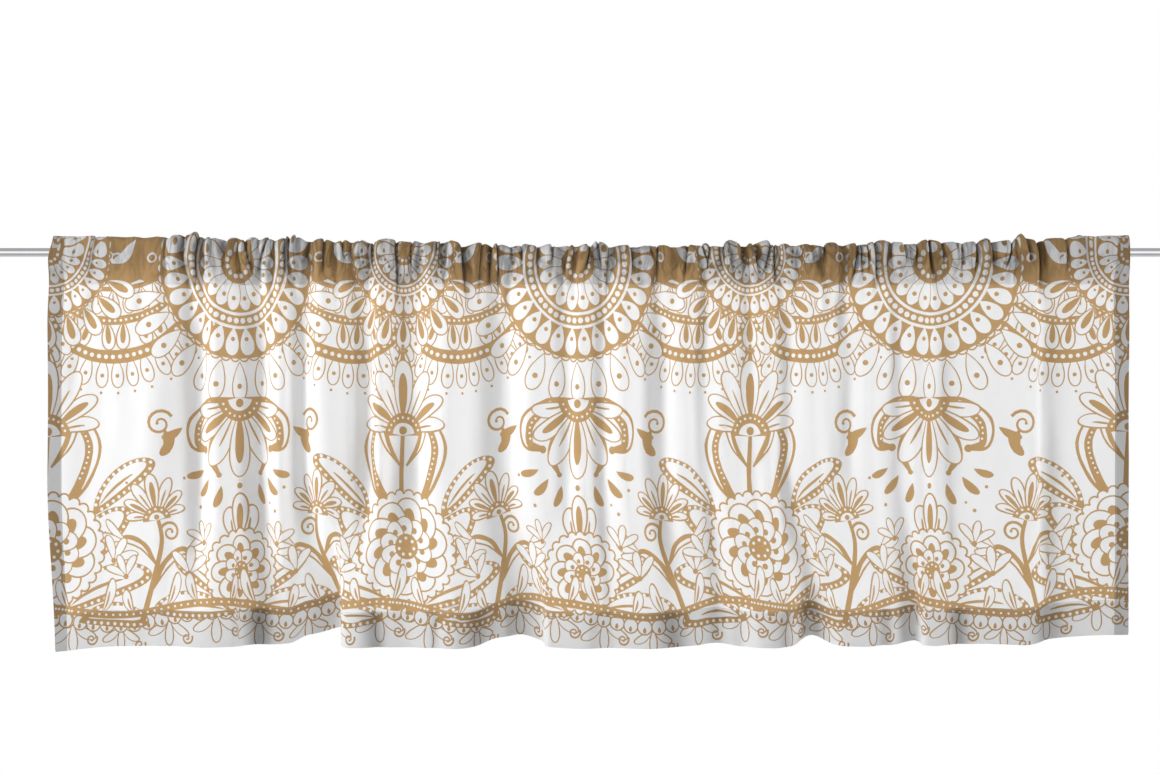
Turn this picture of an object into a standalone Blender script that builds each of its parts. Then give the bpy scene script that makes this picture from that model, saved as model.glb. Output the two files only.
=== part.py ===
"""Rod pocket valance gathered on a thin steel curtain rod.

The cloth is one cut: its top is turned to the back and sewn down as a rod pocket, and its
sides and foot are turned as hems, which are modelled as thicker cloth. The rod runs through
the pocket. +X runs along the rod, -Y is the front of the cloth and +Z is up. The origin is
the centre of the rod's left end face. Sizes are in metres.
"""

import math
import random
from collections import namedtuple

import bmesh
import bpy
import numpy as np

# Driving dimensions of the rod.
ROD_DIAMETER = 0.013
ROD_OVERHANG = 0.090
ROD_SIDES = 32
ROD_END_BEVEL = 0.0006

# Driving dimensions of the cloth as it hangs.
CLOTH_WIDTH = 1.574
HEM_DROP = 0.577
POCKET_DROP = 0.047
CLOTH_THICKNESS = 0.0012
HEM_THICKNESS = 0.0022
HEM_HEIGHT = 0.052
SIDE_HEM = 0.020
SEAT_GAP = 0.0003

# Gathers of the heading.
GATHER_SEED = 7
GATHER_PITCH = 0.0372
GATHER_SPREAD = 0.34
GATHER_DEPTH = 0.0052
GATHER_LEAN = 0.12
HEADING_STRETCH = 0.060
COLUMNS_PER_GATHER = 4
SAMPLES_PER_FOLD = 24

# Loft of the cloth round the rod: the least distance of its middle from the rod's axis. The
# cosine keeps the flats between two rows of vertices clear of the rod too.
ROD_RADIUS = ROD_DIAMETER / 2
WRAP_RADIUS = (ROD_RADIUS + SEAT_GAP + CLOTH_THICKNESS / 2) / math.cos(math.pi / 8)
ROD_LENGTH = CLOTH_WIDTH + 2 * ROD_OVERHANG

# Folds half way down, from left to right. x is from the cloth's left edge, and depth is how
# far the fold stands back (+) or forward (-) of the plane of the rod's front.
Fold = namedtuple("Fold", "x depth")
MIDDLE_FOLDS = (
    Fold(0.000, 0.002),
    Fold(0.073, -0.004),
    Fold(0.160, -0.015),
    Fold(0.210, 0.013),
    Fold(0.246, -0.016),
    Fold(0.297, 0.020),
    Fold(0.336, -0.014),
    Fold(0.366, 0.009),
    Fold(0.400, -0.018),
    Fold(0.457, 0.010),
    Fold(0.484, -0.014),
    Fold(0.521, 0.013),
    Fold(0.576, -0.021),
    Fold(0.643, 0.024),
    Fold(0.702, -0.014),
    Fold(0.749, 0.007),
    Fold(0.776, -0.013),
    Fold(0.802, 0.002),
    Fold(0.838, -0.018),
    Fold(0.880, 0.016),
    Fold(0.920, -0.014),
    Fold(0.952, 0.003),
    Fold(0.983, -0.016),
    Fold(1.015, 0.002),
    Fold(1.042, -0.014),
    Fold(1.070, 0.002),
    Fold(1.107, -0.017),
    Fold(1.150, 0.013),
    Fold(1.190, -0.012),
    Fold(1.232, 0.004),
    Fold(1.266, -0.013),
    Fold(1.300, 0.006),
    Fold(1.365, -0.007),
    Fold(1.430, -0.011),
    Fold(1.452, 0.008),
    Fold(1.500, -0.001),
    Fold(1.574, 0.001),
)

# The same at the foot, where a lift raises the hem.
HemFold = namedtuple("HemFold", "x depth lift")
HEM_FOLDS = (
    HemFold(0.000, 0.003, -0.004),
    HemFold(0.080, -0.004, 0.002),
    HemFold(0.165, -0.008, 0.003),
    HemFold(0.228, -0.020, 0.000),
    HemFold(0.271, -0.018, 0.001),
    HemFold(0.280, 0.006, 0.003),
    HemFold(0.325, 0.012, 0.004),
    HemFold(0.380, 0.019, 0.008),
    HemFold(0.424, 0.028, 0.017),
    HemFold(0.427, -0.006, 0.002),
    HemFold(0.462, -0.021, -0.001),
    HemFold(0.515, -0.009, 0.001),
    HemFold(0.566, -0.019, -0.001),
    HemFold(0.606, -0.022, -0.002),
    HemFold(0.643, 0.004, 0.003),
    HemFold(0.682, 0.027, 0.013),
    HemFold(0.718, 0.014, 0.008),
    HemFold(0.730, -0.012, 0.001),
    HemFold(0.785, -0.021, -0.002),
    HemFold(0.820, -0.010, 0.000),
    HemFold(0.862, -0.022, -0.002),
    HemFold(0.905, -0.018, -0.001),
    HemFold(0.968, 0.013, 0.006),
    HemFold(1.005, 0.004, 0.003),
    HemFold(1.042, -0.021, -0.001),
    HemFold(1.078, -0.006, 0.001),
    HemFold(1.115, 0.024, 0.012),
    HemFold(1.158, -0.012, 0.002),
    HemFold(1.200, -0.015, 0.002),
    HemFold(1.238, 0.006, 0.006),
    HemFold(1.266, 0.020, 0.010),
    HemFold(1.283, -0.010, 0.003),
    HemFold(1.365, -0.006, 0.006),
    HemFold(1.428, -0.012, 0.003),
    HemFold(1.462, 0.008, 0.009),
    HemFold(1.510, 0.010, 0.014),
    HemFold(1.574, 0.004, 0.017),
)

# Height of the heading's top edge above the rod's axis. It stands up at the smooth ends and
# lies on the rod in the middle, where the gathers raise it in places.
Crest = namedtuple("Crest", "x height")
CRESTS = (
    Crest(0.000, 0.0240),
    Crest(0.190, 0.0215),
    Crest(0.330, 0.0200),
    Crest(0.480, 0.0150),
    Crest(0.640, 0.0110),
    Crest(0.780, 0.0092),
    Crest(0.950, 0.0092),
    Crest(1.100, 0.0115),
    Crest(1.240, 0.0160),
    Crest(1.440, 0.0225),
    Crest(1.574, 0.0250),
)

# Rows of the cloth from the pocket's seam at the back, over the rod and down the front. side
# is 1 behind the rod and -1 before it, rise is a share of the crest's height, and drop is
# below the rod's axis.
Row = namedtuple("Row", "side rise drop")
POCKET_ROWS = (
    Row(1, 0.0, POCKET_DROP),
    Row(1, 0.0, 0.024),
    Row(1, 0.0, 0.000),
    Row(1, math.sin(math.pi / 4), 0.000),
    Row(0, 1.0, 0.000),
    Row(-1, math.sin(math.pi / 4), 0.000),
    Row(-1, 0.0, 0.000),
    Row(-1, 0.0, 0.024),
)
SKIRT_DROPS = (
    POCKET_DROP,
    0.085,
    0.140,
    0.270,
    0.410,
    HEM_DROP - HEM_HEIGHT,
    HEM_DROP,
)
GATHERS_END = 0.150
FOOT_START = 0.300

CLOTH_COLOUR = (0.86, 0.86, 0.87, 1.0)
STEEL_COLOUR = (0.62, 0.62, 0.63, 1.0)


def smooth_step(value, start, end):
    """Rises softly from 0 at start to 1 at end."""
    share = np.clip((value - start) / (end - start), 0.0, 1.0)
    return share * share * (3 - 2 * share)


def curve_through(rows):
    """Points along a smooth curve through the rows of a table, and the cloth's length to each."""
    knots = np.array(rows, float)
    knots = np.vstack([2 * knots[0] - knots[1], knots, 2 * knots[-1] - knots[-2]])
    share = np.linspace(0, 1, SAMPLES_PER_FOLD, endpoint=False)[:, None]
    points = []
    for before, start, end, after in zip(knots, knots[1:], knots[2:], knots[3:]):
        leave = (end - before) / 2
        arrive = (after - start) / 2
        points.append(
            start
            + leave * share
            + (3 * (end - start) - 2 * leave - arrive) * share**2
            + (2 * (start - end) + leave + arrive) * share**3
        )
    points = np.vstack([*points, knots[-2:-1]])
    steps = np.linalg.norm(np.diff(points[:, :2], axis=0), axis=1)
    length = np.concatenate([[0.0], np.cumsum(steps)])
    return points, length


def gather_edges(flat_width):
    """Where one gather of the heading ends and the next begins, along the flat cloth."""
    dice = random.Random(GATHER_SEED)
    count = round(flat_width / GATHER_PITCH)
    widths = np.array(
        [1 + GATHER_SPREAD * dice.uniform(-1, 1) for _ in range(count)]
    )
    leans = np.array([GATHER_LEAN * dice.uniform(-1, 1) for _ in range(count)])
    heights = np.array([dice.uniform(0.55, 1.3) for _ in range(count)])
    edges = np.concatenate([[0.0], np.cumsum(widths)]) / widths.sum() * flat_width
    return edges, leans, heights


class Drape:
    """The hanging cloth as a surface: places along its flat width give places in the air."""

    def __init__(self):
        self.middle, middle_length = curve_through(MIDDLE_FOLDS)
        self.foot, foot_length = curve_through(HEM_FOLDS)
        self.flat_width = middle_length[-1]
        self.middle_share = middle_length / middle_length[-1]
        self.foot_share = foot_length / foot_length[-1]
        self.edges, self.leans, self.heights = gather_edges(self.flat_width)

    def at(self, points, share_of, share):
        """A curve's columns at places given as shares of the flat width."""
        return [np.interp(share, share_of, column) for column in points.T]

    def heading_x(self, share):
        """Where the heading's cloth sits along the rod, which evens out the folds below it."""
        reach = HEADING_STRETCH / self.flat_width
        total = 0.0
        offsets = np.linspace(-reach, reach, 9)
        for offset in offsets:
            near = np.clip(share + offset, 0.0, 1.0)
            total = total + np.interp(near, self.middle_share, self.middle[:, 0])
        total = total / len(offsets)
        ends = np.minimum(share, 1 - share) / reach
        fade = np.clip(ends, 0.0, 1.0)
        own = np.interp(share, self.middle_share, self.middle[:, 0])
        return own + (total - own) * fade

    def gather(self, share):
        """The gather at a place: how far it stands out, from 0 to 1, its size and its lean."""
        flat = share * self.flat_width
        index = np.clip(
            np.searchsorted(self.edges, flat, side="right") - 1, 0, len(self.leans) - 1
        )
        start, end = self.edges[index], self.edges[index + 1]
        phase = (flat - start) / (end - start)
        stand = ((1 - np.cos(2 * np.pi * phase)) / 2) ** 0.7
        near = 0.5 * HEADING_STRETCH / self.flat_width
        low = self.heading_x(np.clip(share - near, 0, 1))
        high = self.heading_x(np.clip(share + near, 0, 1))
        run = (np.clip(share + near, 0, 1) - np.clip(share - near, 0, 1)) * self.flat_width
        slack = np.clip(run / np.maximum(high - low, 1e-6) - 1.0, 0.0, 0.45)
        size = GATHER_DEPTH * np.sqrt(slack / 0.25) * self.heights[index]
        return stand, size, self.leans[index]

    def pocket_point(self, share, row):
        """A place on the pocket, in the row that the table gives."""
        x = self.heading_x(share)
        stand, size, lean = self.gather(share)
        crest = np.interp(x, *np.array(CRESTS).T)
        out = np.where(row.side > 0, 1 - stand, stand) * 2 * size
        top = np.maximum(crest + (stand - 0.4) * size, WRAP_RADIUS)
        reach = WRAP_RADIUS + out
        if row.side == 0:
            y = (0.5 - stand) * size
            z = top
        elif row.rise:
            y = row.side * reach * math.cos(math.pi / 4)
            z = np.maximum(top * row.rise, WRAP_RADIUS * row.rise)
        else:
            seam = self.skirt_point(share, POCKET_DROP)[1]
            close = (row.drop / POCKET_DROP) ** 1.4
            y = row.side * reach * (1 - close) + seam * close
            z = np.full_like(x, -row.drop)
        x = x + lean * stand * (z + POCKET_DROP)
        return x, y, z

    def skirt_point(self, share, drop):
        """A place on the cloth below the pocket's seam, at a drop below the rod's axis."""
        middle_x, middle_y = self.at(self.middle, self.middle_share, share)
        foot_x, foot_y, lift = self.at(self.foot, self.foot_share, share)
        stand, size, _ = self.gather(share)
        loose = smooth_step(drop, POCKET_DROP * 0.5, GATHERS_END)
        foot = smooth_step(drop, FOOT_START, HEM_DROP)
        heading_y = 0.45 * middle_y - stand * 1.6 * size
        x = self.heading_x(share) * (1 - loose) + middle_x * loose
        y = heading_y * (1 - loose) + middle_y * loose
        x = x * (1 - foot) + foot_x * foot
        y = y * (1 - foot) + foot_y * foot - ROD_RADIUS / 2
        z = -drop + lift * smooth_step(drop, POCKET_DROP, HEM_DROP)
        return x, y, z

    def rows(self, share):
        """Every row of the cloth at the given places, as arrays of points."""
        found = [self.pocket_point(share, row) for row in POCKET_ROWS]
        found += [self.skirt_point(share, drop) for drop in SKIRT_DROPS]
        found[0] = found[len(POCKET_ROWS)]
        return [np.stack(point, axis=1) for point in found]


def material(name, colour, metallic, roughness):
    made = bpy.data.materials.new(name)
    made.use_nodes = True
    shader = made.node_tree.nodes["Principled BSDF"]
    shader.inputs["Base Color"].default_value = colour
    shader.inputs["Metallic"].default_value = metallic
    shader.inputs["Roughness"].default_value = roughness
    return made


def place(mesh_object, collection, finish):
    """Keeps an object in the part's collection, with its material."""
    for holder in list(mesh_object.users_collection):
        holder.objects.unlink(mesh_object)
    collection.objects.link(mesh_object)
    mesh_object.data.materials.clear()
    mesh_object.data.materials.append(finish)


def make_rod(collection):
    """The straight steel rod, with its left end face at the origin."""
    bpy.ops.mesh.primitive_cylinder_add(
        vertices=ROD_SIDES,
        radius=ROD_RADIUS,
        depth=ROD_LENGTH,
        location=(ROD_LENGTH / 2, 0, 0),
        rotation=(0, math.pi / 2, 0),
    )
    rod = bpy.context.object
    rod.name = "curtain_rod"
    bevel = rod.modifiers.new("eased ends", "BEVEL")
    bevel.width = ROD_END_BEVEL
    bevel.segments = 2
    bevel.limit_method = "ANGLE"
    bevel.angle_limit = math.radians(60)
    rod.data.shade_smooth()
    rod.data.set_sharp_from_angle(angle=math.radians(40))
    place(rod, collection, material("steel", STEEL_COLOUR, 1.0, 0.25))
    return rod


def make_cloth(collection):
    """The valance: a grid shaped by the drape, closed into a pocket at its seam."""
    drape = Drape()
    parts = np.arange(COLUMNS_PER_GATHER) / COLUMNS_PER_GATHER
    starts, widths = drape.edges[:-1, None], np.diff(drape.edges)[:, None]
    columns = np.append((starts + widths * parts).ravel(), drape.flat_width)
    share = columns / drape.flat_width
    rows = drape.rows(share)

    shape = bmesh.new()
    bmesh.ops.create_grid(
        shape, x_segments=len(share) - 1, y_segments=len(rows) - 1, size=1.0
    )
    shape.verts.ensure_lookup_table()
    hem = shape.verts.layers.deform.verify()
    foot_rows = len(rows) - 2
    for index, vertex in enumerate(shape.verts):
        row, column = divmod(index, len(share))
        x, y, z = rows[row][column]
        vertex.co = (x + ROD_OVERHANG, y, z)
        from_side = min(columns[column], drape.flat_width - columns[column])
        hemmed = row >= foot_rows or from_side < SIDE_HEM
        vertex[hem][0] = 1.0 if hemmed else CLOTH_THICKNESS / HEM_THICKNESS
    bmesh.ops.remove_doubles(shape, verts=shape.verts, dist=1e-6)

    mesh = bpy.data.meshes.new("valance_cloth")
    shape.to_mesh(mesh)
    shape.free()
    cloth = bpy.data.objects.new("valance_cloth", mesh)
    cloth.vertex_groups.new(name="hems")
    thick = cloth.modifiers.new("cloth thickness", "SOLIDIFY")
    thick.solidify_mode = "NON_MANIFOLD"
    thick.nonmanifold_thickness_mode = "FIXED"
    thick.nonmanifold_boundary_mode = "NONE"
    thick.thickness = HEM_THICKNESS
    thick.offset = 0.0
    thick.vertex_group = "hems"
    mesh.shade_smooth()
    place(cloth, collection, material("printed cotton", CLOTH_COLOUR, 0.0, 0.9))
    return cloth


def main():
    for old in list(bpy.data.objects):
        bpy.data.objects.remove(old)
    collection = bpy.data.collections.new("rod pocket valance")
    bpy.context.scene.collection.children.link(collection)
    make_rod(collection)
    make_cloth(collection)


main()
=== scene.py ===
import math
import random
from collections import namedtuple

import bpy
import numpy as np
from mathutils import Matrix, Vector
from mathutils.bvhtree import BVHTree
from mathutils.geometry import delaunay_2d_cdt


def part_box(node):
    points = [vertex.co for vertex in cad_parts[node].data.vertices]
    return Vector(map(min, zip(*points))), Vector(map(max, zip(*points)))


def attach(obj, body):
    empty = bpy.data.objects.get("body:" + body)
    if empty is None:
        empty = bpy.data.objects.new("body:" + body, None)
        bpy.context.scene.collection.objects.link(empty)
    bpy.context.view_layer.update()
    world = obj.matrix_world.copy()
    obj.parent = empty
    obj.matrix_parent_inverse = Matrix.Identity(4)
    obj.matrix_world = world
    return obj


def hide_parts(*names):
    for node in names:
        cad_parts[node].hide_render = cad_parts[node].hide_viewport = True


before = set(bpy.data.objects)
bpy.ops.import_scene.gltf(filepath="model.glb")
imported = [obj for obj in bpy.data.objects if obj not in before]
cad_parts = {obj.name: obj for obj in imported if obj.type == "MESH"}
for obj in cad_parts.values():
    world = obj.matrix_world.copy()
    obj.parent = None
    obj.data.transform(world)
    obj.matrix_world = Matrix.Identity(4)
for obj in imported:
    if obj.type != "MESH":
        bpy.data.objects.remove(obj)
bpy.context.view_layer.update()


# Camera
# It stands level in front of the valance, so the cloth is seen face on and the rod runs out
# of the picture on both sides.
CAMERA_DISTANCE = 2.3
PICTURE_WIDTH = 1.6936
PICTURE_CENTRE = (0.8638, -0.1964)


def linked(name, data):
    """A new object in the scene."""
    made = bpy.data.objects.new(name, data)
    bpy.context.scene.collection.objects.link(made)
    return made


camera = linked("camera", bpy.data.cameras.new("camera"))
camera.location = (PICTURE_CENTRE[0], -CAMERA_DISTANCE, PICTURE_CENTRE[1])
camera.rotation_euler = (math.radians(90), 0, 0)
camera.data.sensor_width = 36.0
camera.data.lens = 36.0 * CAMERA_DISTANCE / PICTURE_WIDTH
bpy.context.scene.camera = camera


# Curtain rod
# A thin round steel tube with a satin plating, drawn and polished along its length. Its ends
# are cut square and eased, and slide into wall brackets outside the picture.
ROD_DIAMETER = 0.013
ROD_END_EASE = 0.0006
ROD_SIDES = 64
ROD_COLOUR = (0.70, 0.70, 0.71, 1.0)


class Wired:
    """A socket of a node tree, on which arithmetic adds Math nodes to the tree."""

    def __init__(self, tree, socket=None):
        self.tree = tree
        self.socket = socket

    def node(self, kind, settings=(), values=(), out=0):
        """Adds a node: its settings first, then the values or links of its sockets."""
        made = self.tree.nodes.new(kind)
        for name, value in dict(settings).items():
            setattr(made, name, value)
        for name, value in dict(values).items():
            if isinstance(value, Wired):
                self.tree.links.new(value.socket, made.inputs[name])
            else:
                made.inputs[name].default_value = value
        return Wired(self.tree, made.outputs[out] if len(made.outputs) else None)

    def also(self, name):
        """Another output of the same node."""
        return Wired(self.tree, self.socket.node.outputs[name])

    def maths(self, operation, first, second=0.0):
        settings = {"operation": operation}
        return self.node("ShaderNodeMath", settings, {0: first, 1: second})

    def __add__(self, other):
        return self.maths("ADD", self, other)

    def __radd__(self, other):
        return self.maths("ADD", other, self)

    def __sub__(self, other):
        return self.maths("SUBTRACT", self, other)

    def __rsub__(self, other):
        return self.maths("SUBTRACT", other, self)

    def __mul__(self, other):
        return self.maths("MULTIPLY", self, other)

    def __rmul__(self, other):
        return self.maths("MULTIPLY", other, self)

    def __truediv__(self, other):
        return self.maths("DIVIDE", self, other)

    def least(self, other):
        return self.maths("MINIMUM", self, other)

    def most(self, other):
        return self.maths("MAXIMUM", self, other)

    def sine(self):
        return self.maths("SINE", self)


def geometry_tree(name, sizes):
    """A Geometry Nodes tree with a named input for each size, and its inputs by name."""
    tree = bpy.data.node_groups.new(name, "GeometryNodeTree")
    tree.interface.new_socket("Geometry", in_out="OUTPUT", socket_type="NodeSocketGeometry")
    tree.interface.new_socket("Geometry", in_out="INPUT", socket_type="NodeSocketGeometry")
    for label, kind in sizes.items():
        tree.interface.new_socket(label, in_out="INPUT", socket_type=kind)
    entry = tree.nodes.new("NodeGroupInput")
    return {socket.name: Wired(tree, socket) for socket in entry.outputs if socket.name}


def finish_tree(shape, surface):
    """Ends a tree in Realize Instances and Set Material."""
    real = shape.node("GeometryNodeRealizeInstances", {}, {"Geometry": shape})
    values = {"Geometry": real, "Material": surface}
    dressed = real.node("GeometryNodeSetMaterial", {}, values)
    dressed.node("NodeGroupOutput", {}, {"Geometry": dressed})
    return shape.tree


def grow(name, start, tree, sizes):
    """Runs a tree on a starting mesh, and keeps the result as a plain mesh at the origin."""
    piece = linked(name, start)
    steps = piece.modifiers.new(name, "NODES")
    steps.node_group = tree
    for item in tree.interface.items_tree:
        if item.in_out == "INPUT" and item.name in sizes:
            steps[item.identifier] = sizes[item.name]
    ready = piece.evaluated_get(bpy.context.evaluated_depsgraph_get())
    mesh = bpy.data.meshes.new_from_object(ready)
    piece.modifiers.remove(steps)
    piece.data = mesh
    return piece


def new_surface(name):
    """An empty material, and the start of its node tree."""
    made = bpy.data.materials.new(name)
    made.use_nodes = True
    made.node_tree.nodes.clear()
    return made, Wired(made.node_tree)


def satin_steel():
    """Plated steel: bright, with fine lines drawn along it and faint uneven patches."""
    made, start = new_surface("satin_steel")
    place = start.node("ShaderNodeTexCoord", out="Object")
    along = {"Vector": place, "Scale": (2.0, 1400.0, 1400.0)}
    lines = start.node("ShaderNodeMapping", {}, along)
    values = {"Vector": lines, "Scale": 1.0, "Detail": 3.0, "Roughness": 0.6}
    drawn = start.node("ShaderNodeTexNoise", {}, values)
    patches = start.node("ShaderNodeTexNoise", {}, {"Vector": place, "Scale": 34.0, "Detail": 2.0})
    height = {"Height": drawn, "Strength": 0.12, "Distance": 0.00004}
    bump = start.node("ShaderNodeBump", {}, height)
    tint = {"Factor": patches, 6: ROD_COLOUR, 7: (0.64, 0.645, 0.66, 1.0)}
    colour = start.node("ShaderNodeMix", {"data_type": "RGBA"}, tint, out=2)
    values = {
        "Base Color": colour,
        "Metallic": 1.0,
        "Roughness": 0.13 + drawn * 0.10,
        "Normal": bump,
    }
    shader = start.node("ShaderNodeBsdfPrincipled", {}, values)
    start.node("ShaderNodeOutputMaterial", {}, {"Surface": shader})
    return made


def rod_tree(surface):
    """A tube swept along a straight line, narrower at both ends where its edge is eased."""
    floats = ("Length", "Diameter", "Ease")
    sizes = dict.fromkeys(floats, "NodeSocketFloat") | {"Sides": "NodeSocketInt"}
    given = geometry_tree("drawn rod", sizes)
    length, ease, radius = given["Length"], given["Ease"], given["Diameter"] / 2
    index = length.node("GeometryNodeInputIndex")
    after_start = index.least(1.0)
    before_end = (index - 1).most(0.0).least(1.0)
    end = (index - 2).most(0.0)
    x = ease * after_start + (length - ease * 2) * before_end + ease * end
    at_end = 1 - (index * (3 - index)).least(1.0)
    line = length.node("GeometryNodeMeshLine", {}, {"Count": 4})
    place = length.node("ShaderNodeCombineXYZ", {}, {"X": x})
    line = line.node("GeometryNodeSetPosition", {}, {"Geometry": line, "Position": place})
    line = line.node("GeometryNodeMeshToCurve", {}, {"Mesh": line})
    narrow = {"Curve": line, "Radius": 1 - at_end * ease / radius}
    line = line.node("GeometryNodeSetCurveRadius", {}, narrow)
    values = {"Resolution": given["Sides"], "Radius": radius}
    ring = line.node("GeometryNodeCurvePrimitiveCircle", {}, values)
    values = {"Curve": line, "Profile Curve": ring, "Fill Caps": True}
    tube = line.node("GeometryNodeCurveToMesh", {}, values)
    return finish_tree(tube, surface)


rod_low, rod_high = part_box("curtain_rod")
steel = satin_steel()
rod_sizes = {
    "Length": rod_high.x - rod_low.x,
    "Diameter": ROD_DIAMETER,
    "Ease": ROD_END_EASE,
    "Sides": ROD_SIDES,
}
rod = grow("steel_rod", bpy.data.meshes.new("steel_rod"), rod_tree(steel), rod_sizes)
rod.data.shade_smooth()
rod.data.set_sharp_from_angle(angle=math.radians(40))
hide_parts("curtain_rod")
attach(rod, "root")


# Fall of the cloth
# One cut of light cotton, 1.83 m wide between its turned sides, pushed together along the rod
# to 1.57 m. These are the folds of the CAD solid, from the same sizes, and the finer creases
# that the gathers press into the pocket.
ROD_OVERHANG = 0.090
HEM_DROP = 0.577
POCKET_DROP = 0.047
HEM_HEIGHT = 0.052
SIDE_HEM = 0.020
POCKET_TOP = -0.0875
CUT_FOOT = HEM_DROP + HEM_HEIGHT
GATHER_SEED = 7
GATHER_PITCH = 0.0372
GATHER_SPREAD = 0.34
GATHER_DEPTH = 0.0052
GATHER_LEAN = 0.12
HEADING_STRETCH = 0.060
SAMPLES_PER_FOLD = 24
WRAP_RADIUS = (ROD_DIAMETER / 2 + 0.0003 + 0.0006) / math.cos(math.pi / 8)
GATHERS_END = 0.150
FOOT_START = 0.300

# Folds half way down, from left to right: x from the cloth's left edge, and how far the fold
# stands back (+) or forward (-).
Fold = namedtuple("Fold", "x depth")
MIDDLE_FOLDS = [Fold(*row) for row in (
    (0.000, 0.002), (0.073, -0.004), (0.160, -0.015), (0.210, 0.013), (0.246, -0.016),
    (0.297, 0.020), (0.336, -0.014), (0.366, 0.009), (0.400, -0.018), (0.457, 0.010),
    (0.484, -0.014), (0.521, 0.013), (0.576, -0.021), (0.643, 0.024), (0.702, -0.014),
    (0.749, 0.007), (0.776, -0.013), (0.802, 0.002), (0.838, -0.018), (0.880, 0.016),
    (0.920, -0.014), (0.952, 0.003), (0.983, -0.016), (1.015, 0.002), (1.042, -0.014),
    (1.070, 0.002), (1.107, -0.017), (1.150, 0.013), (1.190, -0.012), (1.232, 0.004),
    (1.266, -0.013), (1.300, 0.006), (1.365, -0.007), (1.430, -0.011), (1.452, 0.008),
    (1.500, -0.001), (1.574, 0.001),
)]

# The same at the foot, where a lift raises the hem.
HemFold = namedtuple("HemFold", "x depth lift")
HEM_FOLDS = [HemFold(*row) for row in (
    (0.000, 0.003, -0.004), (0.080, -0.004, 0.002), (0.165, -0.008, 0.003), (0.228, -0.020, 0.000),
    (0.271, -0.018, 0.001), (0.280, 0.006, 0.003), (0.325, 0.012, 0.004), (0.380, 0.019, 0.008),
    (0.424, 0.028, 0.017), (0.427, -0.006, 0.002), (0.462, -0.021, -0.001), (0.515, -0.009, 0.001),
    (0.566, -0.019, -0.001), (0.606, -0.022, -0.002), (0.643, 0.004, 0.003), (0.682, 0.027, 0.013),
    (0.718, 0.014, 0.008), (0.730, -0.012, 0.001), (0.785, -0.021, -0.002), (0.820, -0.010, 0.000),
    (0.862, -0.022, -0.002), (0.905, -0.018, -0.001), (0.968, 0.013, 0.006), (1.005, 0.004, 0.003),
    (1.042, -0.021, -0.001), (1.078, -0.006, 0.001), (1.115, 0.024, 0.012), (1.158, -0.012, 0.002),
    (1.200, -0.015, 0.002), (1.238, 0.006, 0.006), (1.266, 0.020, 0.010), (1.283, -0.010, 0.003),
    (1.365, -0.006, 0.006), (1.428, -0.012, 0.003), (1.462, 0.008, 0.009), (1.510, 0.010, 0.014),
    (1.574, 0.004, 0.017),
)]

# Height of the heading's top edge above the rod's axis.
Crest = namedtuple("Crest", "x height")
CRESTS = [Crest(*row) for row in (
    (0.000, 0.0240), (0.190, 0.0215), (0.330, 0.0200), (0.480, 0.0150), (0.640, 0.0110),
    (0.780, 0.0092), (0.950, 0.0092), (1.100, 0.0115), (1.240, 0.0160), (1.440, 0.0225),
    (1.574, 0.0250),
)]

# Places where a gather stands up above that edge.
Peak = namedtuple("Peak", "x width rise")
PEAKS = [Peak(*row) for row in (
    (0.207, 0.035, 0.0075), (0.353, 0.029, 0.0048), (0.499, 0.029, 0.0072), (0.536, 0.026, 0.0034),
    (0.578, 0.029, 0.0050), (0.800, 0.026, 0.0082), (0.956, 0.018, 0.0050), (0.997, 0.026, 0.0080),
    (1.041, 0.023, 0.0080), (1.219, 0.029, 0.0072), (1.282, 0.029, 0.0072), (1.361, 0.023, 0.0050),
    (1.419, 0.018, 0.0082),
)]

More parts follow.
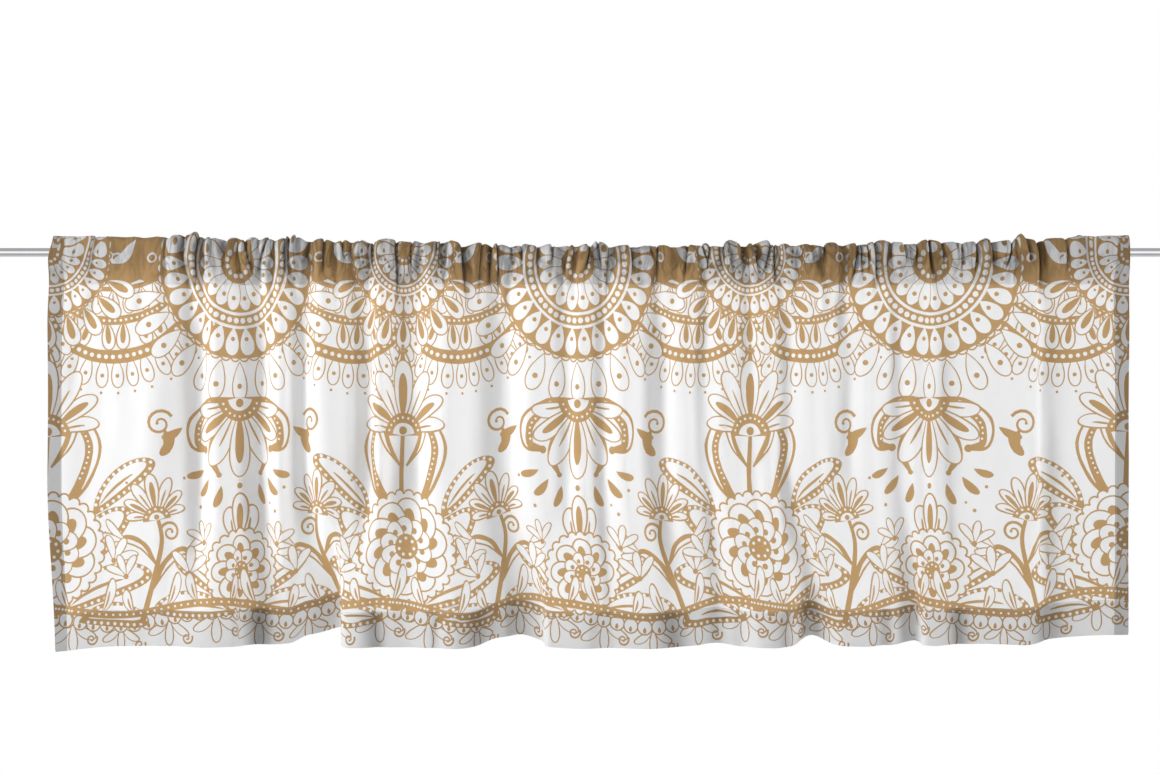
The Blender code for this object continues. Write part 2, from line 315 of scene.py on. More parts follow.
# Creases of the heading, from where each crosses the top edge to where it fades out, at a
# drop below the rod's axis.
Crease = namedtuple("Crease", "top foot drop depth")
CREASES = [Crease(*row) for row in (
    (0.198, 0.198, 0.014, 0.0027), (0.217, 0.213, 0.047, 0.0045), (0.242, 0.241, 0.008, 0.0022),
    (0.258, 0.258, -0.001, 0.0027), (0.281, 0.298, 0.028, 0.0045), (0.319, 0.301, 0.028, 0.0036),
    (0.338, 0.346, 0.014, 0.0031), (0.351, 0.340, 0.033, 0.0018), (0.363, 0.367, 0.014, 0.0031),
    (0.385, 0.367, 0.037, 0.0022), (0.397, 0.400, 0.026, 0.0045), (0.425, 0.431, 0.008, 0.0031),
    (0.452, 0.457, 0.026, 0.0018), (0.472, 0.474, 0.014, 0.0031), (0.504, 0.508, 0.077, 0.0045),
    (0.526, 0.528, 0.026, 0.0031), (0.558, 0.561, 0.008, 0.0027), (0.565, 0.566, 0.028, 0.0031),
    (0.584, 0.574, 0.014, 0.0018), (0.600, 0.607, 0.069, 0.0045), (0.629, 0.623, 0.069, 0.0031),
    (0.648, 0.638, 0.055, 0.0045), (0.660, 0.651, 0.069, 0.0040), (0.672, 0.677, 0.026, 0.0018),
    (0.686, 0.691, 0.014, 0.0031), (0.710, 0.712, 0.014, 0.0018), (0.731, 0.731, 0.023, 0.0036),
    (0.753, 0.746, 0.055, 0.0027), (0.781, 0.780, 0.014, 0.0045), (0.788, 0.773, 0.033, 0.0027),
    (0.804, 0.807, 0.033, 0.0045), (0.816, 0.810, 0.069, 0.0031), (0.847, 0.851, 0.026, 0.0045),
    (0.870, 0.883, 0.004, 0.0027), (0.888, 0.885, 0.033, 0.0040), (0.908, 0.908, 0.014, 0.0018),
    (0.933, 0.925, 0.040, 0.0040), (0.948, 0.962, 0.014, 0.0045), (0.968, 0.959, 0.014, 0.0031),
    (0.985, 0.986, 0.008, 0.0027), (0.994, 0.998, 0.055, 0.0018), (1.009, 1.013, 0.014, 0.0031),
    (1.023, 1.021, 0.047, 0.0027), (1.030, 1.034, 0.033, 0.0040), (1.048, 1.042, 0.014, 0.0045),
    (1.054, 1.058, 0.047, 0.0040), (1.082, 1.084, 0.014, 0.0018), (1.111, 1.116, 0.014, 0.0018),
    (1.131, 1.133, 0.014, 0.0040), (1.150, 1.150, 0.014, 0.0018), (1.171, 1.169, 0.043, 0.0045),
    (1.178, 1.184, 0.026, 0.0027), (1.193, 1.196, 0.018, 0.0027), (1.209, 1.201, 0.055, 0.0031),
    (1.229, 1.227, 0.014, 0.0027), (1.245, 1.248, 0.014, 0.0031), (1.264, 1.261, 0.011, 0.0027),
    (1.282, 1.288, 0.026, 0.0045), (1.296, 1.300, 0.008, 0.0027), (1.315, 1.323, 0.008, 0.0018),
    (1.332, 1.329, 0.014, 0.0022), (1.347, 1.346, 0.023, 0.0040), (1.371, 1.373, 0.008, 0.0040),
    (1.406, 1.388, 0.020, 0.0045), (1.425, 1.429, 0.011, 0.0031), (1.439, 1.445, 0.055, 0.0045),
    (1.451, 1.448, 0.014, 0.0018), (1.482, 1.482, 0.014, 0.0013), (1.510, 1.511, 0.014, 0.0009),
)]
CREASE_STEEP = 0.0020
CREASE_GENTLE = 0.0052
CREASE_SIZE = 2.3
ROLL_HEIGHT = 0.0062
LIP_PLACE = 0.0046
LIP_WIDTH = 0.0040
OVERHANG = 0.0026
OVERHANG_PLACE = 0.0038
VALLEY_CORE = 0.0026
TUCK_WIDTH = 0.0030
DEEPEST_CREASE = 0.0045
TOP_ROLL_LIMIT = 0.0045
TOP_SINK = 0.0050
ROD_CLEARANCE = ROD_DIAMETER / 2 + 0.00055

# Rows of the pocket from its seam at the back, over the rod and down the front. flat is the
# cloth's length from the rod's axis at the front, side is 1 behind the rod and -1 before it,
# rise is a share of the crest's height, and drop is below the rod's axis.
Row = namedtuple("Row", "flat side rise drop")
POCKET_ROWS = (
    Row(POCKET_TOP, 1, 0.0, POCKET_DROP),
    Row(-0.064, 1, 0.0, 0.024),
    Row(-0.040, 1, 0.0, 0.000),
    Row(-0.032, 1, math.sin(math.pi / 4), 0.000),
    Row(-0.020, 0, 1.0, 0.000),
    Row(-0.008, -1, math.sin(math.pi / 4), 0.000),
    Row(0.000, -1, 0.0, 0.000),
    Row(0.024, -1, 0.0, 0.024),
    Row(POCKET_DROP, -1, 0.0, POCKET_DROP),
)


def smooth_step(value, start, end):
    """Rises softly from 0 at start to 1 at end."""
    share = np.clip((value - start) / (end - start), 0.0, 1.0)
    return share * share * (3 - 2 * share)


def smooth_path(start, end, leave, arrive, share):
    """Places from start to end that set out and arrive along the given slopes."""
    return (
        start
        + leave * share
        + (3 * (end - start) - 2 * leave - arrive) * share**2
        + (2 * (start - end) + leave + arrive) * share**3
    )


def curve_through(rows, steps):
    """Points along a smooth curve through the rows of a table."""
    knots = np.array(rows, float)
    knots = np.vstack([2 * knots[0] - knots[1], knots, 2 * knots[-1] - knots[-2]])
    share = np.linspace(0, 1, steps, endpoint=False)[:, None]
    points = []
    for before, start, end, after in zip(knots, knots[1:], knots[2:], knots[3:]):
        points.append(smooth_path(start, end, (end - before) / 2, (after - start) / 2, share))
    return np.vstack([*points, knots[-2:-1]])


def length_along(points):
    """Length of a curve up to each of its points, in its first two columns."""
    steps = np.linalg.norm(np.diff(points[:, :2], axis=0), axis=1)
    return np.concatenate([[0.0], np.cumsum(steps)])


class Drape:
    """The hanging cloth as a surface: places along its flat width give places in the air."""

    def __init__(self):
        self.middle = curve_through(MIDDLE_FOLDS, SAMPLES_PER_FOLD)
        self.foot = curve_through(HEM_FOLDS, SAMPLES_PER_FOLD)
        middle_length = length_along(self.middle)
        foot_length = length_along(self.foot)
        self.flat_width = middle_length[-1]
        self.middle_share = middle_length / middle_length[-1]
        self.foot_share = foot_length / foot_length[-1]
        dice = random.Random(GATHER_SEED)
        count = round(self.flat_width / GATHER_PITCH)
        widths = [1 + GATHER_SPREAD * dice.uniform(-1, 1) for _ in range(count)]
        self.leans = np.array([GATHER_LEAN * dice.uniform(-1, 1) for _ in range(count)])
        self.heights = np.array([dice.uniform(0.55, 1.3) for _ in range(count)])
        edges = np.concatenate([[0.0], np.cumsum(widths)])
        self.edges = edges / edges[-1] * self.flat_width

    def at(self, points, share_of, share):
        """A curve's columns at places given as shares of the flat width."""
        return [np.interp(share, share_of, column) for column in points.T]

    def heading_x(self, share):
        """Where the heading's cloth sits along the rod, which evens out the folds below it."""
        reach = HEADING_STRETCH / self.flat_width
        total = 0.0
        offsets = np.linspace(-reach, reach, 9)
        for offset in offsets:
            near = np.clip(share + offset, 0.0, 1.0)
            total = total + np.interp(near, self.middle_share, self.middle[:, 0])
        total = total / len(offsets)
        fade = np.clip(np.minimum(share, 1 - share) / reach, 0.0, 1.0)
        own = np.interp(share, self.middle_share, self.middle[:, 0])
        return own + (total - own) * fade

    def gather(self, share):
        """The gather at a place: how far it stands out, from 0 to 1, its size and its lean."""
        flat = share * self.flat_width
        found = np.searchsorted(self.edges, flat, side="right") - 1
        index = np.clip(found, 0, len(self.leans) - 1)
        start, end = self.edges[index], self.edges[index + 1]
        phase = (flat - start) / (end - start)
        stand = ((1 - np.cos(2 * np.pi * phase)) / 2) ** 0.7
        near = 0.5 * HEADING_STRETCH / self.flat_width
        before, after = np.clip(share - near, 0, 1), np.clip(share + near, 0, 1)
        run = (after - before) * self.flat_width
        width = self.heading_x(after) - self.heading_x(before)
        slack = np.clip(run / np.maximum(width, 1e-6) - 1.0, 0.0, 0.45)
        size = GATHER_DEPTH * np.sqrt(slack / 0.25) * self.heights[index]
        return stand, size, self.leans[index]

    def pocket_point(self, share, row):
        """A place on the pocket, in the row that the table gives."""
        x = self.heading_x(share)
        stand, size, lean = self.gather(share)
        crest = np.interp(x, *np.array(CRESTS).T)
        for peak in PEAKS:
            crest = crest + peak.rise * np.exp(-(((x - peak.x) / (peak.width * 0.42)) ** 2))
        out = np.where(row.side > 0, 1 - stand, stand) * 2 * size
        top = np.maximum(crest + (stand - 0.4) * size, WRAP_RADIUS)
        reach = WRAP_RADIUS + out
        if row.side == 0:
            y = (0.5 - stand) * size
            z = top
        elif row.rise:
            y = row.side * reach * math.cos(math.pi / 4)
            z = np.maximum(top * row.rise, WRAP_RADIUS * row.rise)
        else:
            seam = self.skirt_point(share, POCKET_DROP)[1]
            close = (row.drop / POCKET_DROP) ** 1.4
            y = row.side * reach * (1 - close) + seam * close
            z = np.full_like(x, -row.drop)
        return x + lean * stand * (z + POCKET_DROP), y, z

    def skirt_point(self, share, drop):
        """A place on the cloth below the pocket's seam, at a drop below the rod's axis."""
        middle_x, middle_y = self.at(self.middle, self.middle_share, share)
        foot_x, foot_y, lift = self.at(self.foot, self.foot_share, share)
        stand, size, _ = self.gather(share)
        loose = smooth_step(drop, POCKET_DROP * 0.5, GATHERS_END)
        foot = smooth_step(drop, FOOT_START, HEM_DROP)
        heading_y = 0.45 * middle_y - stand * 1.6 * size
        x = self.heading_x(share) * (1 - loose) + middle_x * loose
        y = heading_y * (1 - loose) + middle_y * loose
        x = x * (1 - foot) + foot_x * foot
        y = y * (1 - foot) + foot_y * foot - ROD_DIAMETER / 4
        return x, y, -drop + lift * smooth_step(drop, POCKET_DROP, HEM_DROP)


drape = Drape()
FLAT_WIDTH = drape.flat_width

# Hems turned to the back. The layers lie this far apart, middle to middle, and the fold is
# round, over this much of the cloth.
LAYER_GAP = 0.0009
FOLD_ARC = 0.0014
SIDE_FLAP_END = HEM_DROP - 0.0015


def at_side_hem(across):
    """1 where the side hem doubles the cloth, and 0 past it."""
    from_side = np.minimum(across, FLAT_WIDTH - across)
    return 1 - smooth_step(from_side, SIDE_HEM + 0.001, SIDE_HEM + 0.010)


def folds_at(across, down):
    """The cloth's folds at places of the flat cut, before its hems and its small creases."""
    share = np.clip(across / FLAT_WIDTH, 0.0, 1.0)
    below = drape.skirt_point(share, np.maximum(down, POCKET_DROP))
    found = np.stack(below, axis=1)
    upper = np.flatnonzero(down < POCKET_DROP)
    if not len(upper):
        return found
    share, down = share[upper], down[upper]
    rows = [np.stack(drape.pocket_point(share, row), axis=1) for row in POCKET_ROWS]
    seam = np.stack(drape.skirt_point(share, POCKET_DROP), axis=1)
    under = np.stack(drape.skirt_point(share, POCKET_DROP + 0.001), axis=1)
    behind = LAYER_GAP * (1 + 2 * at_side_hem(across[upper]))
    rows[-1] = seam
    rows[0] = seam + behind[:, None] * np.array([0.0, 1.0, 0.0])
    rows = np.stack(rows)
    flats = np.array([row.flat for row in POCKET_ROWS])
    slopes = np.empty_like(rows)
    slopes[1:-1] = (rows[2:] - rows[:-2]) / (flats[2:] - flats[:-2])[:, None, None]
    slopes[0] = (rows[1] - rows[0]) / (flats[1] - flats[0])
    slopes[-1] = (under - seam) / 0.001
    index = np.clip(np.searchsorted(flats, down, side="right") - 1, 0, len(flats) - 2)
    span = (flats[index + 1] - flats[index])[:, None]
    run = (down[:, None] - flats[index][:, None]) / span
    each = np.arange(len(share))
    leave, arrive = slopes[index, each] * span, slopes[index + 1, each] * span
    found[upper] = smooth_path(rows[index, each], rows[index + 1, each], leave, arrive, run)
    return found


def crease_x(crease, down):
    """Where a crease of the heading lies along the rod, at each drop."""
    run = np.clip((down + 0.020) / (crease.drop + 0.032), 0.0, 1.0)
    return crease.top + (crease.foot - crease.top) * run


def gathered_at(x):
    """How far the heading is gathered: 0 at its smooth ends and 1 between them."""
    return smooth_step(x, 0.150, 0.215) * (1 - smooth_step(x, 1.440, 1.520))


def crease_shape(across, down):
    """How far the heading's rolls stand out between their creases, how far they lean over them
    along the rod, and how much painted shade darkens each place deep in a crease, from 0 to 1."""
    relief = np.zeros(len(across))
    lean = np.zeros(len(across))
    painted_hollow_shade = np.zeros(len(across))
    upper = np.flatnonzero(down < 0.100)
    x = drape.heading_x(np.clip(across[upper] / FLAT_WIDTH, 0.0, 1.0))
    down = down[upper]
    relief[upper] = ROLL_HEIGHT * gathered_at(x) * (1 - smooth_step(down, -0.004, 0.075))
    for index, crease in enumerate(CREASES):
        hand = 1 if index % 3 else -1
        away = (x - crease_x(crease, down)) * hand
        fade = 1 - smooth_step(down, 0.3 * crease.drop - 0.006, crease.drop + 0.020)
        lip = 0.45 * np.exp(-(((away + LIP_PLACE) / LIP_WIDTH) ** 2))
        width = np.where(away > 0, CREASE_GENTLE, CREASE_STEEP)
        core = np.exp(-((away / VALLEY_CORE) ** 2))
        valley = 0.55 * np.exp(-np.abs(away) / width) + 0.45 * core
        relief[upper] += CREASE_SIZE * crease.depth * fade * (lip - valley)
        share = fade * crease.depth / DEEPEST_CREASE
        over = np.exp(-(((away + OVERHANG_PLACE) / TUCK_WIDTH) ** 2))
        lean[upper] += hand * OVERHANG * share * over
        # Painted shade deep in the crease.
        deep = share**0.7 * np.exp(-((away / TUCK_WIDTH) ** 2))
        painted_hollow_shade[upper] = np.maximum(painted_hollow_shade[upper], deep)
    return relief, lean, painted_hollow_shade


# Troughs of the hanging cloth (depth above 0) and fuller places (below 0).
# A path holds places of the valley as drop and x, and the width is half of the trough's.
Trough = namedtuple("Trough", "path width depth")
TROUGHS = [Trough(*row) for row in (
    (((0.060, 0.000), (0.300, 0.000), (0.620, 0.000)), 0.050, -0.0075),
    (((0.045, 0.079), (0.110, 0.050), (0.215, 0.035)), 0.010, 0.0034),
    (((0.045, 0.145), (0.130, 0.126), (0.215, 0.112)), 0.011, 0.0026),
    (((0.045, 0.190), (0.160, 0.200)), 0.007, 0.0030),
    (((0.100, 0.198), (0.420, 0.198)), 0.012, -0.0065),
    (((0.100, 0.222), (0.420, 0.222)), 0.009, 0.0035),
    (((0.045, 0.284), (0.110, 0.290)), 0.007, 0.0036),
    (((0.330, 0.296), (0.430, 0.300), (0.620, 0.298)), 0.015, 0.0085),
    (((0.045, 0.355), (0.120, 0.360)), 0.006, 0.0040),
    (((0.120, 0.366), (0.400, 0.366)), 0.012, -0.0030),
    (((0.330, 0.362), (0.520, 0.352)), 0.011, 0.0045),
    (((0.045, 0.450), (0.120, 0.455)), 0.008, 0.0040),
    (((0.045, 0.508), (0.105, 0.516)), 0.007, 0.0034),
    (((0.110, 0.445), (0.400, 0.444)), 0.009, -0.0040),
    (((0.110, 0.464), (0.400, 0.464)), 0.008, 0.0030),
    (((0.110, 0.521), (0.380, 0.516)), 0.013, -0.0080),
    (((0.300, 0.518), (0.420, 0.492), (0.520, 0.474), (0.620, 0.480)), 0.015, 0.0075),
    (((0.500, 0.566), (0.620, 0.564)), 0.006, 0.0020),
    (((0.150, 0.643), (0.340, 0.641)), 0.015, -0.0035),
    (((0.400, 0.634), (0.520, 0.626), (0.620, 0.622)), 0.018, 0.0080),
    (((0.045, 0.800), (0.120, 0.800)), 0.006, 0.0040),
    (((0.110, 0.748), (0.420, 0.748)), 0.013, -0.0045),
    (((0.180, 0.803), (0.450, 0.799), (0.620, 0.796)), 0.011, 0.0018),
    (((0.045, 0.860), (0.110, 0.868)), 0.007, 0.0038),
    (((0.120, 0.880), (0.380, 0.882)), 0.012, -0.0040),
    (((0.380, 0.888), (0.500, 0.900), (0.620, 0.916)), 0.020, 0.0080),
    (((0.120, 0.954), (0.400, 0.954)), 0.012, -0.0055),
    (((0.045, 1.000), (0.110, 1.004)), 0.006, 0.0040),
    (((0.120, 1.015), (0.420, 1.015)), 0.012, -0.0070),
    (((0.045, 1.050), (0.110, 1.056)), 0.006, 0.0036),
    (((0.120, 1.070), (0.300, 1.070)), 0.010, -0.0015),
    (((0.330, 1.073), (0.620, 1.070)), 0.012, 0.0055),
    (((0.110, 1.148), (0.420, 1.148)), 0.017, -0.0105),
    (((0.440, 1.218), (0.620, 1.212)), 0.012, 0.0045),
    (((0.500, 1.256), (0.620, 1.258)), 0.016, -0.0090),
    (((0.130, 1.298), (0.300, 1.308), (0.450, 1.320)), 0.009, 0.0028),
    (((0.380, 1.314), (0.500, 1.322), (0.620, 1.328)), 0.015, 0.0080),
    (((0.045, 1.430), (0.300, 1.438), (0.480, 1.446)), 0.012, 0.0035),
    (((0.400, 1.448), (0.620, 1.453)), 0.020, 0.0075),
)]


def trough_depth(x, down, hollows_only=False):
    """How deep the listed troughs are, at places along the rod and drops below it."""
    total = np.zeros(len(x))
    for trough in TROUGHS:
        if hollows_only and trough.depth < 0:
            continue
        drops, places = np.array(trough.path).T
        away = np.abs(x - np.interp(down, drops, places)) / trough.width
        fade = smooth_step(down, drops[0] - 0.030, drops[0] + 0.045)
        fade *= 1 - smooth_step(down, drops[-1] - 0.045, drops[-1] + 0.045)
        total += trough.depth * fade * np.exp(-(away**2))
    return total


# Soft unevenness of the hanging cloth: long shallow waves from a fixed seed.
wave_dice = random.Random(21)
Wave = namedtuple("Wave", "width length phase size")
WAVES = [
    Wave(wave_dice.uniform(0.030, 0.110), wave_dice.uniform(0.20, 0.70) * side,
         wave_dice.uniform(0, 6.28), wave_dice.uniform(0.00015, 0.00045))
    for side in (1, -1) * 7
]


PUCKER_PITCH = 0.0146
SIDE_PUCKER_PITCH = 0.017
HEM_PUCKER = 0.00022
SEAM_PUCKER = 0.00035
SIDE_PUCKER = 0.00018


def small_relief(across, down):
    """Shallow waves of the whole cloth, and the puckers along its rows of sewing."""
    total = np.zeros(len(across))
    for wave in WAVES:
        turn = 2 * np.pi * (across / wave.width + down / wave.length) + wave.phase
        total += wave.size * np.sin(turn)
    total *= smooth_step(down, 0.02, 0.12)
    ripple = np.sin(2 * np.pi * across / PUCKER_PITCH + 1.7 * np.sin(across * 61))
    hem = np.exp(-(((down - HEM_DROP + HEM_HEIGHT) / 0.007) ** 2))
    seam = np.exp(-(((down - POCKET_DROP) / 0.006) ** 2))
    total += ripple * (HEM_PUCKER * hem + SEAM_PUCKER * seam)
    from_side = np.minimum(across, FLAT_WIDTH - across)
    side = np.exp(-(((from_side - SIDE_HEM) / 0.006) ** 2))
    along = np.sin(2 * np.pi * down / SIDE_PUCKER_PITCH + np.sin(down * 53))
    total += SIDE_PUCKER * side * along
    return total


# Places where the foot hangs higher, besides the deep fold that breaks off at 0.425.
HEM_LIFTS = [Peak(*row) for row in (
    (0.648, 0.020, 0.0085), (0.690, 0.022, 0.0030), (1.115, 0.018, 0.0040),
)]
DEEP_FOLD_LIFT = 0.0100
RIGHT_END_LIFT = 0.0028
STANDS_OUT_LIFT = 0.20


def hem_lift(x, y):
    """How much higher the foot hangs where it stands out, and at the places listed above."""
    deep_fold = smooth_step(x, 0.345, 0.376) * (1 - smooth_step(x, 0.4235, 0.4270))
    lift = STANDS_OUT_LIFT * np.maximum(-y, 0.0) + DEEP_FOLD_LIFT * deep_fold
    for place in HEM_LIFTS:
        lift += place.rise * np.exp(-(((x - place.x) / place.width) ** 2))
    return lift + RIGHT_END_LIFT * smooth_step(x, 1.400, 1.470)


LEFT_FOOT_IN = 0.0105
LEFT_TOP_IN = 0.0060
DRAWN_IN_REACH = 0.120


def pulled_in(x, z):
    """How far the left edge is drawn in, at the foot and at the top corner."""
    at_foot = LEFT_FOOT_IN * smooth_step(-z, 0.330, 0.600)
    size = at_foot + LEFT_TOP_IN * smooth_step(z, -0.012, 0.022)
    return size * np.exp(-np.maximum(x, 0.0) / DRAWN_IN_REACH)


OVER_ROD = 0.040
VALLEY_SHARE_ON_TOP = 0.55
LEAN_LOST_ON_TOP = 0.7
RIGHT_TOP_SINK = 0.0040
HOLLOW_ROOM = (0.0002, 0.0140)


def front_at(across, down):
    """The cloth with its creases, before its hems are turned."""
    found = folds_at(across, down)
    found[:, 2] += hem_lift(found[:, 0], found[:, 1]) * smooth_step(down, 0.400, HEM_DROP)
    round_rod = np.clip(-down / OVER_ROD, 0.0, 1.0) * np.pi
    on_top = np.sin(round_rod)
    relief, lean, _ = crease_shape(across, down)
    lean *= 1 - LEAN_LOST_ON_TOP * on_top
    relief += small_relief(across, down) - trough_depth(found[:, 0], down)
    rounded = TOP_ROLL_LIMIT * np.tanh(relief / TOP_ROLL_LIMIT)
    eased = np.where(relief > 0, rounded, relief * VALLEY_SHARE_ON_TOP)
    relief += (eased - relief) * on_top
    sink = TOP_SINK + RIGHT_TOP_SINK * smooth_step(found[:, 0], 1.05, 1.30)
    relief -= on_top * gathered_at(found[:, 0]) * sink
    room = np.hypot(found[:, 1], found[:, 2]) - ROD_CLEARANCE
    room = np.clip(room, *HOLLOW_ROOM)
    relief = np.where(relief < 0, room * np.tanh(relief / room), relief)
    back = np.flatnonzero(down < -0.045)
    seam = np.full(len(back), POCKET_DROP)
    with_seam = 1 - smooth_step(down[back], POCKET_TOP, -0.050)
    at_seam = crease_shape(across[back], seam)[0] + small_relief(across[back], seam)
    relief[back] += (-at_seam - relief[back]) * with_seam
    lean[back] *= 1 - with_seam
    found[:, 0] += lean + pulled_in(found[:, 0], found[:, 2])
    found[:, 1] -= relief * np.cos(round_rod)
    found[:, 2] += relief * np.sin(round_rod)
    return found


# Painted shade in the hollows of the folds: full at this trough depth, and this share of it above
# the hem.
DEEP_TROUGH = 0.0085
SHADE_ABOVE_HEM = 0.14


def painted_hollow_shade_at(across, down):
    """How much painted shade darkens each place, from 0 to 1: deep in a crease of the heading, or
    in a hollow of the folds, strongest in the hem.
    """
    down = np.minimum(down, 2 * HEM_DROP - down)
    across = np.clip(across, 0.0, FLAT_WIDTH)
    hollow = trough_depth(folds_at(across, down)[:, 0], down, hollows_only=True) / DEEP_TROUGH
    hem_top = HEM_DROP - HEM_HEIGHT
    in_hem = SHADE_ABOVE_HEM + 0.86 * smooth_step(down, hem_top - 0.003, hem_top + 0.003)
    return np.maximum(crease_shape(across, down)[2], np.minimum(hollow, 1.0) * in_hem)


def unit(vectors):
    return vectors / np.maximum(np.linalg.norm(vectors, axis=1), 1e-12)[:, None]


def directions(surface, across, down, step=0.0002):
    """Across, down and outward directions of a surface at each place."""
    over = surface(across + step, down) - surface(across - step, down)
    under = surface(across, down + step) - surface(across, down - step)
    return unit(over), unit(under), unit(np.cross(under, over))


def cloth_at(across, down):
    """The middle of the hanging cloth, hems turned, at places of the flat cut."""
    left, right = across < 0, across > FLAT_WIDTH
    foot = down > HEM_DROP
    turned = np.maximum.reduce([-across, across - FLAT_WIDTH, down - HEM_DROP, 0 * down])
    inward = np.maximum(turned - FOLD_ARC, 0.0)
    angle = np.minimum(turned / FOLD_ARC, 1.0) * np.pi
    flat_across = np.where(left, inward, np.where(right, FLAT_WIDTH - inward, across))
    flat_down = np.where(foot, HEM_DROP - inward, down)
    found = front_at(flat_across, flat_down)
    flap = np.flatnonzero(left | right | foot)
    if len(flap):
        safe = np.clip(flat_across[flap], 0.0003, FLAT_WIDTH - 0.0003)
        over, under, out = directions(front_at, safe, flat_down[flap])
        gap = LAYER_GAP * np.where(foot[flap], 1 + at_side_hem(safe), 1.0)
        bulge = (gap / 2 * np.sin(angle[flap]))[:, None]
        behind = (gap / 2 * (1 - np.cos(angle[flap])))[:, None]
        edge = np.where(foot[flap], 0.0, np.where(left[flap], -1.0, 1.0))[:, None]
        found[flap] += over * edge * bulge + under * foot[flap][:, None] * bulge - out * behind
    found[:, 0] += ROD_OVERHANG
    return found


# Print of the cloth
# One ochre ink, screen printed on the white cloth in three repeats: a solid heading with
# lace rosettes and swags under it, and a border of flowers, leaves and a vine at the foot.
# Places are metres across one repeat and down from the rod, and 0 degrees points down.
REPEATS = 3
REPEAT = FLAT_WIDTH / REPEATS
HALF = REPEAT / 2
INK, BARE = True, False
painted = []


def paint(outline, ink):
    """Paints an outline over what is there, in ink or as bare cloth."""
    painted.append((np.asarray(outline, float), ink))


def placed(outline, x, y, angle):
    """An outline turned by degrees and moved to its place."""
    turn = math.radians(angle)
    across, down = np.asarray(outline, float).T
    turned = [
        x + across * math.cos(turn) + down * math.sin(turn),
        y - across * math.sin(turn) + down * math.cos(turn),
    ]
    return np.stack(turned, axis=1)


def disc(x, y, radius, ink):
    """A round spot, with enough sides to look round at its size."""
    sides = int(np.clip(math.pi * math.sqrt(radius / 0.00024), 8, 52))
    around = np.arange(sides) * 2 * math.pi / sides
    paint(np.stack([x + radius * np.cos(around), y + radius * np.sin(around)], axis=1), ink)


def drop_outline(length, width, bend=0.0, taper=0.8):
    """A drop that starts in a point and ends round, bent to one side."""
    steps = int(np.clip(length / 0.0026, 5, 14))
    half = np.linspace(0.0, math.pi, steps + 1)
    down = length * (1 - np.cos(half)) / 2
    side = np.sin(half) * np.sin(half / 2) ** taper
    side = side / side.max() * width / 2
    lean = bend * length * (down / length) ** 2
    left = np.stack([lean - side, down], axis=1)
    right = np.stack([lean + side, down], axis=1)
    return np.concatenate([left, right[-2:0:-1]])


def drop(x, y, angle, length, width, ink, bend=0.0, taper=0.8):
    paint(placed(drop_outline(length, width, bend, taper), x, y, angle), ink)


def petal(x, y, angle, length, width, rim=0.0025, bend=0.0, heart="vein"):
    """An outlined petal with a vein, a seed or a solid heart."""
    drop(x, y, angle, length, width, INK, bend)
    inner = length - 2.1 * rim
    start = placed([(0.0, rim * 1.2)], x, y, angle)[0]
    drop(*start, angle, inner, width - 2 * rim, BARE, bend)
    if heart == "vein":
        drop(*start, angle, inner * 0.66, rim * 1.4, INK, bend)
    elif heart == "seed":
        spot = placed([(bend * inner * 0.42, inner * 0.66)], x, y, angle)[0]
        disc(*spot, width * 0.15, INK)
    elif heart == "solid":
        drop(*start, angle, inner * 0.80, (width - 2 * rim) * 0.48, INK, bend)


def stroke(line, widths, ink=INK):
    """A brush line along a curve, with widths spread from its start to its end."""
    line = np.asarray(line, float)
    along = unit(np.gradient(line, axis=0))
    across = np.stack([-along[:, 1], along[:, 0]], axis=1)
    share = np.linspace(0, 1, len(line))
    half = np.interp(share, np.linspace(0, 1, len(widths)), widths)[:, None] / 2
    left, right = line + across * half, line - across * half
    for i in range(len(line) - 1):
        paint([left[i], left[i + 1], right[i + 1], right[i]], ink)


def spread(line, pitch):
    """Places and directions at an even pitch along a curve."""
    line = np.asarray(line, float)
    length = length_along(line)
    count = max(2, round(length[-1] / pitch))
    stops = (np.arange(count) + 0.5) * length[-1] / count

    def at(stop):
        return np.stack([np.interp(stop, length, column) for column in line.T], axis=1)

    slope = at(stops + 0.001) - at(stops - 0.001)
    return zip(at(stops), np.degrees(np.arctan2(slope[:, 0], slope[:, 1])))


def beads(line, pitch, radius, ink=BARE):
    for (x, y), _ in spread(line, pitch):
        disc(x, y, radius, ink)


def loops(line, pitch, rim, outside):
    """A row of small outlined loops along a curve, with a seed in each."""
    for (x, y), angle in spread(line, pitch):
        centre = placed([(outside * pitch * 0.22, 0.0)], x, y, angle)[0]
        disc(*centre, pitch * 0.56, INK)
        disc(*centre, pitch * 0.56 - rim, BARE)
        drop(*centre, angle + 90 * outside, pitch * 0.42, pitch * 0.24, INK)


def arc(x, y, radius, start, end):
    """Places on a round arc between two angles."""
    count = max(6, int(abs(math.radians(end - start)) * radius / 0.0045))
    angles = np.radians(np.linspace(start, end, count))
    return np.stack([x + radius * np.sin(angles), y + radius * np.cos(angles)], axis=1)


def spiral(x, y, angle, size, turns, hand, widths):
    """A curl that winds inwards to a round end."""
    sweep = np.linspace(0, turns * 2 * math.pi, int(turns * 15) + 1)
    reach = size * (1 - sweep / sweep[-1] * 0.82)
    points = [hand * reach * np.cos(sweep) - hand * size, reach * np.sin(sweep)]
    line = placed(np.stack(points, axis=1), x, y, angle)
    stroke(line, widths)
    disc(*line[-1], widths[-1] * 0.9, INK)


def ring(count, x, y, start, end, reach, make):
    """Repeats a motif round a centre, at a reach from it, evenly between two angles."""
    for i in range(count):
        angle = start + (end - start) * (i + 0.5) / count
        make(*placed([(0.0, reach)], x, y, angle)[0], angle)


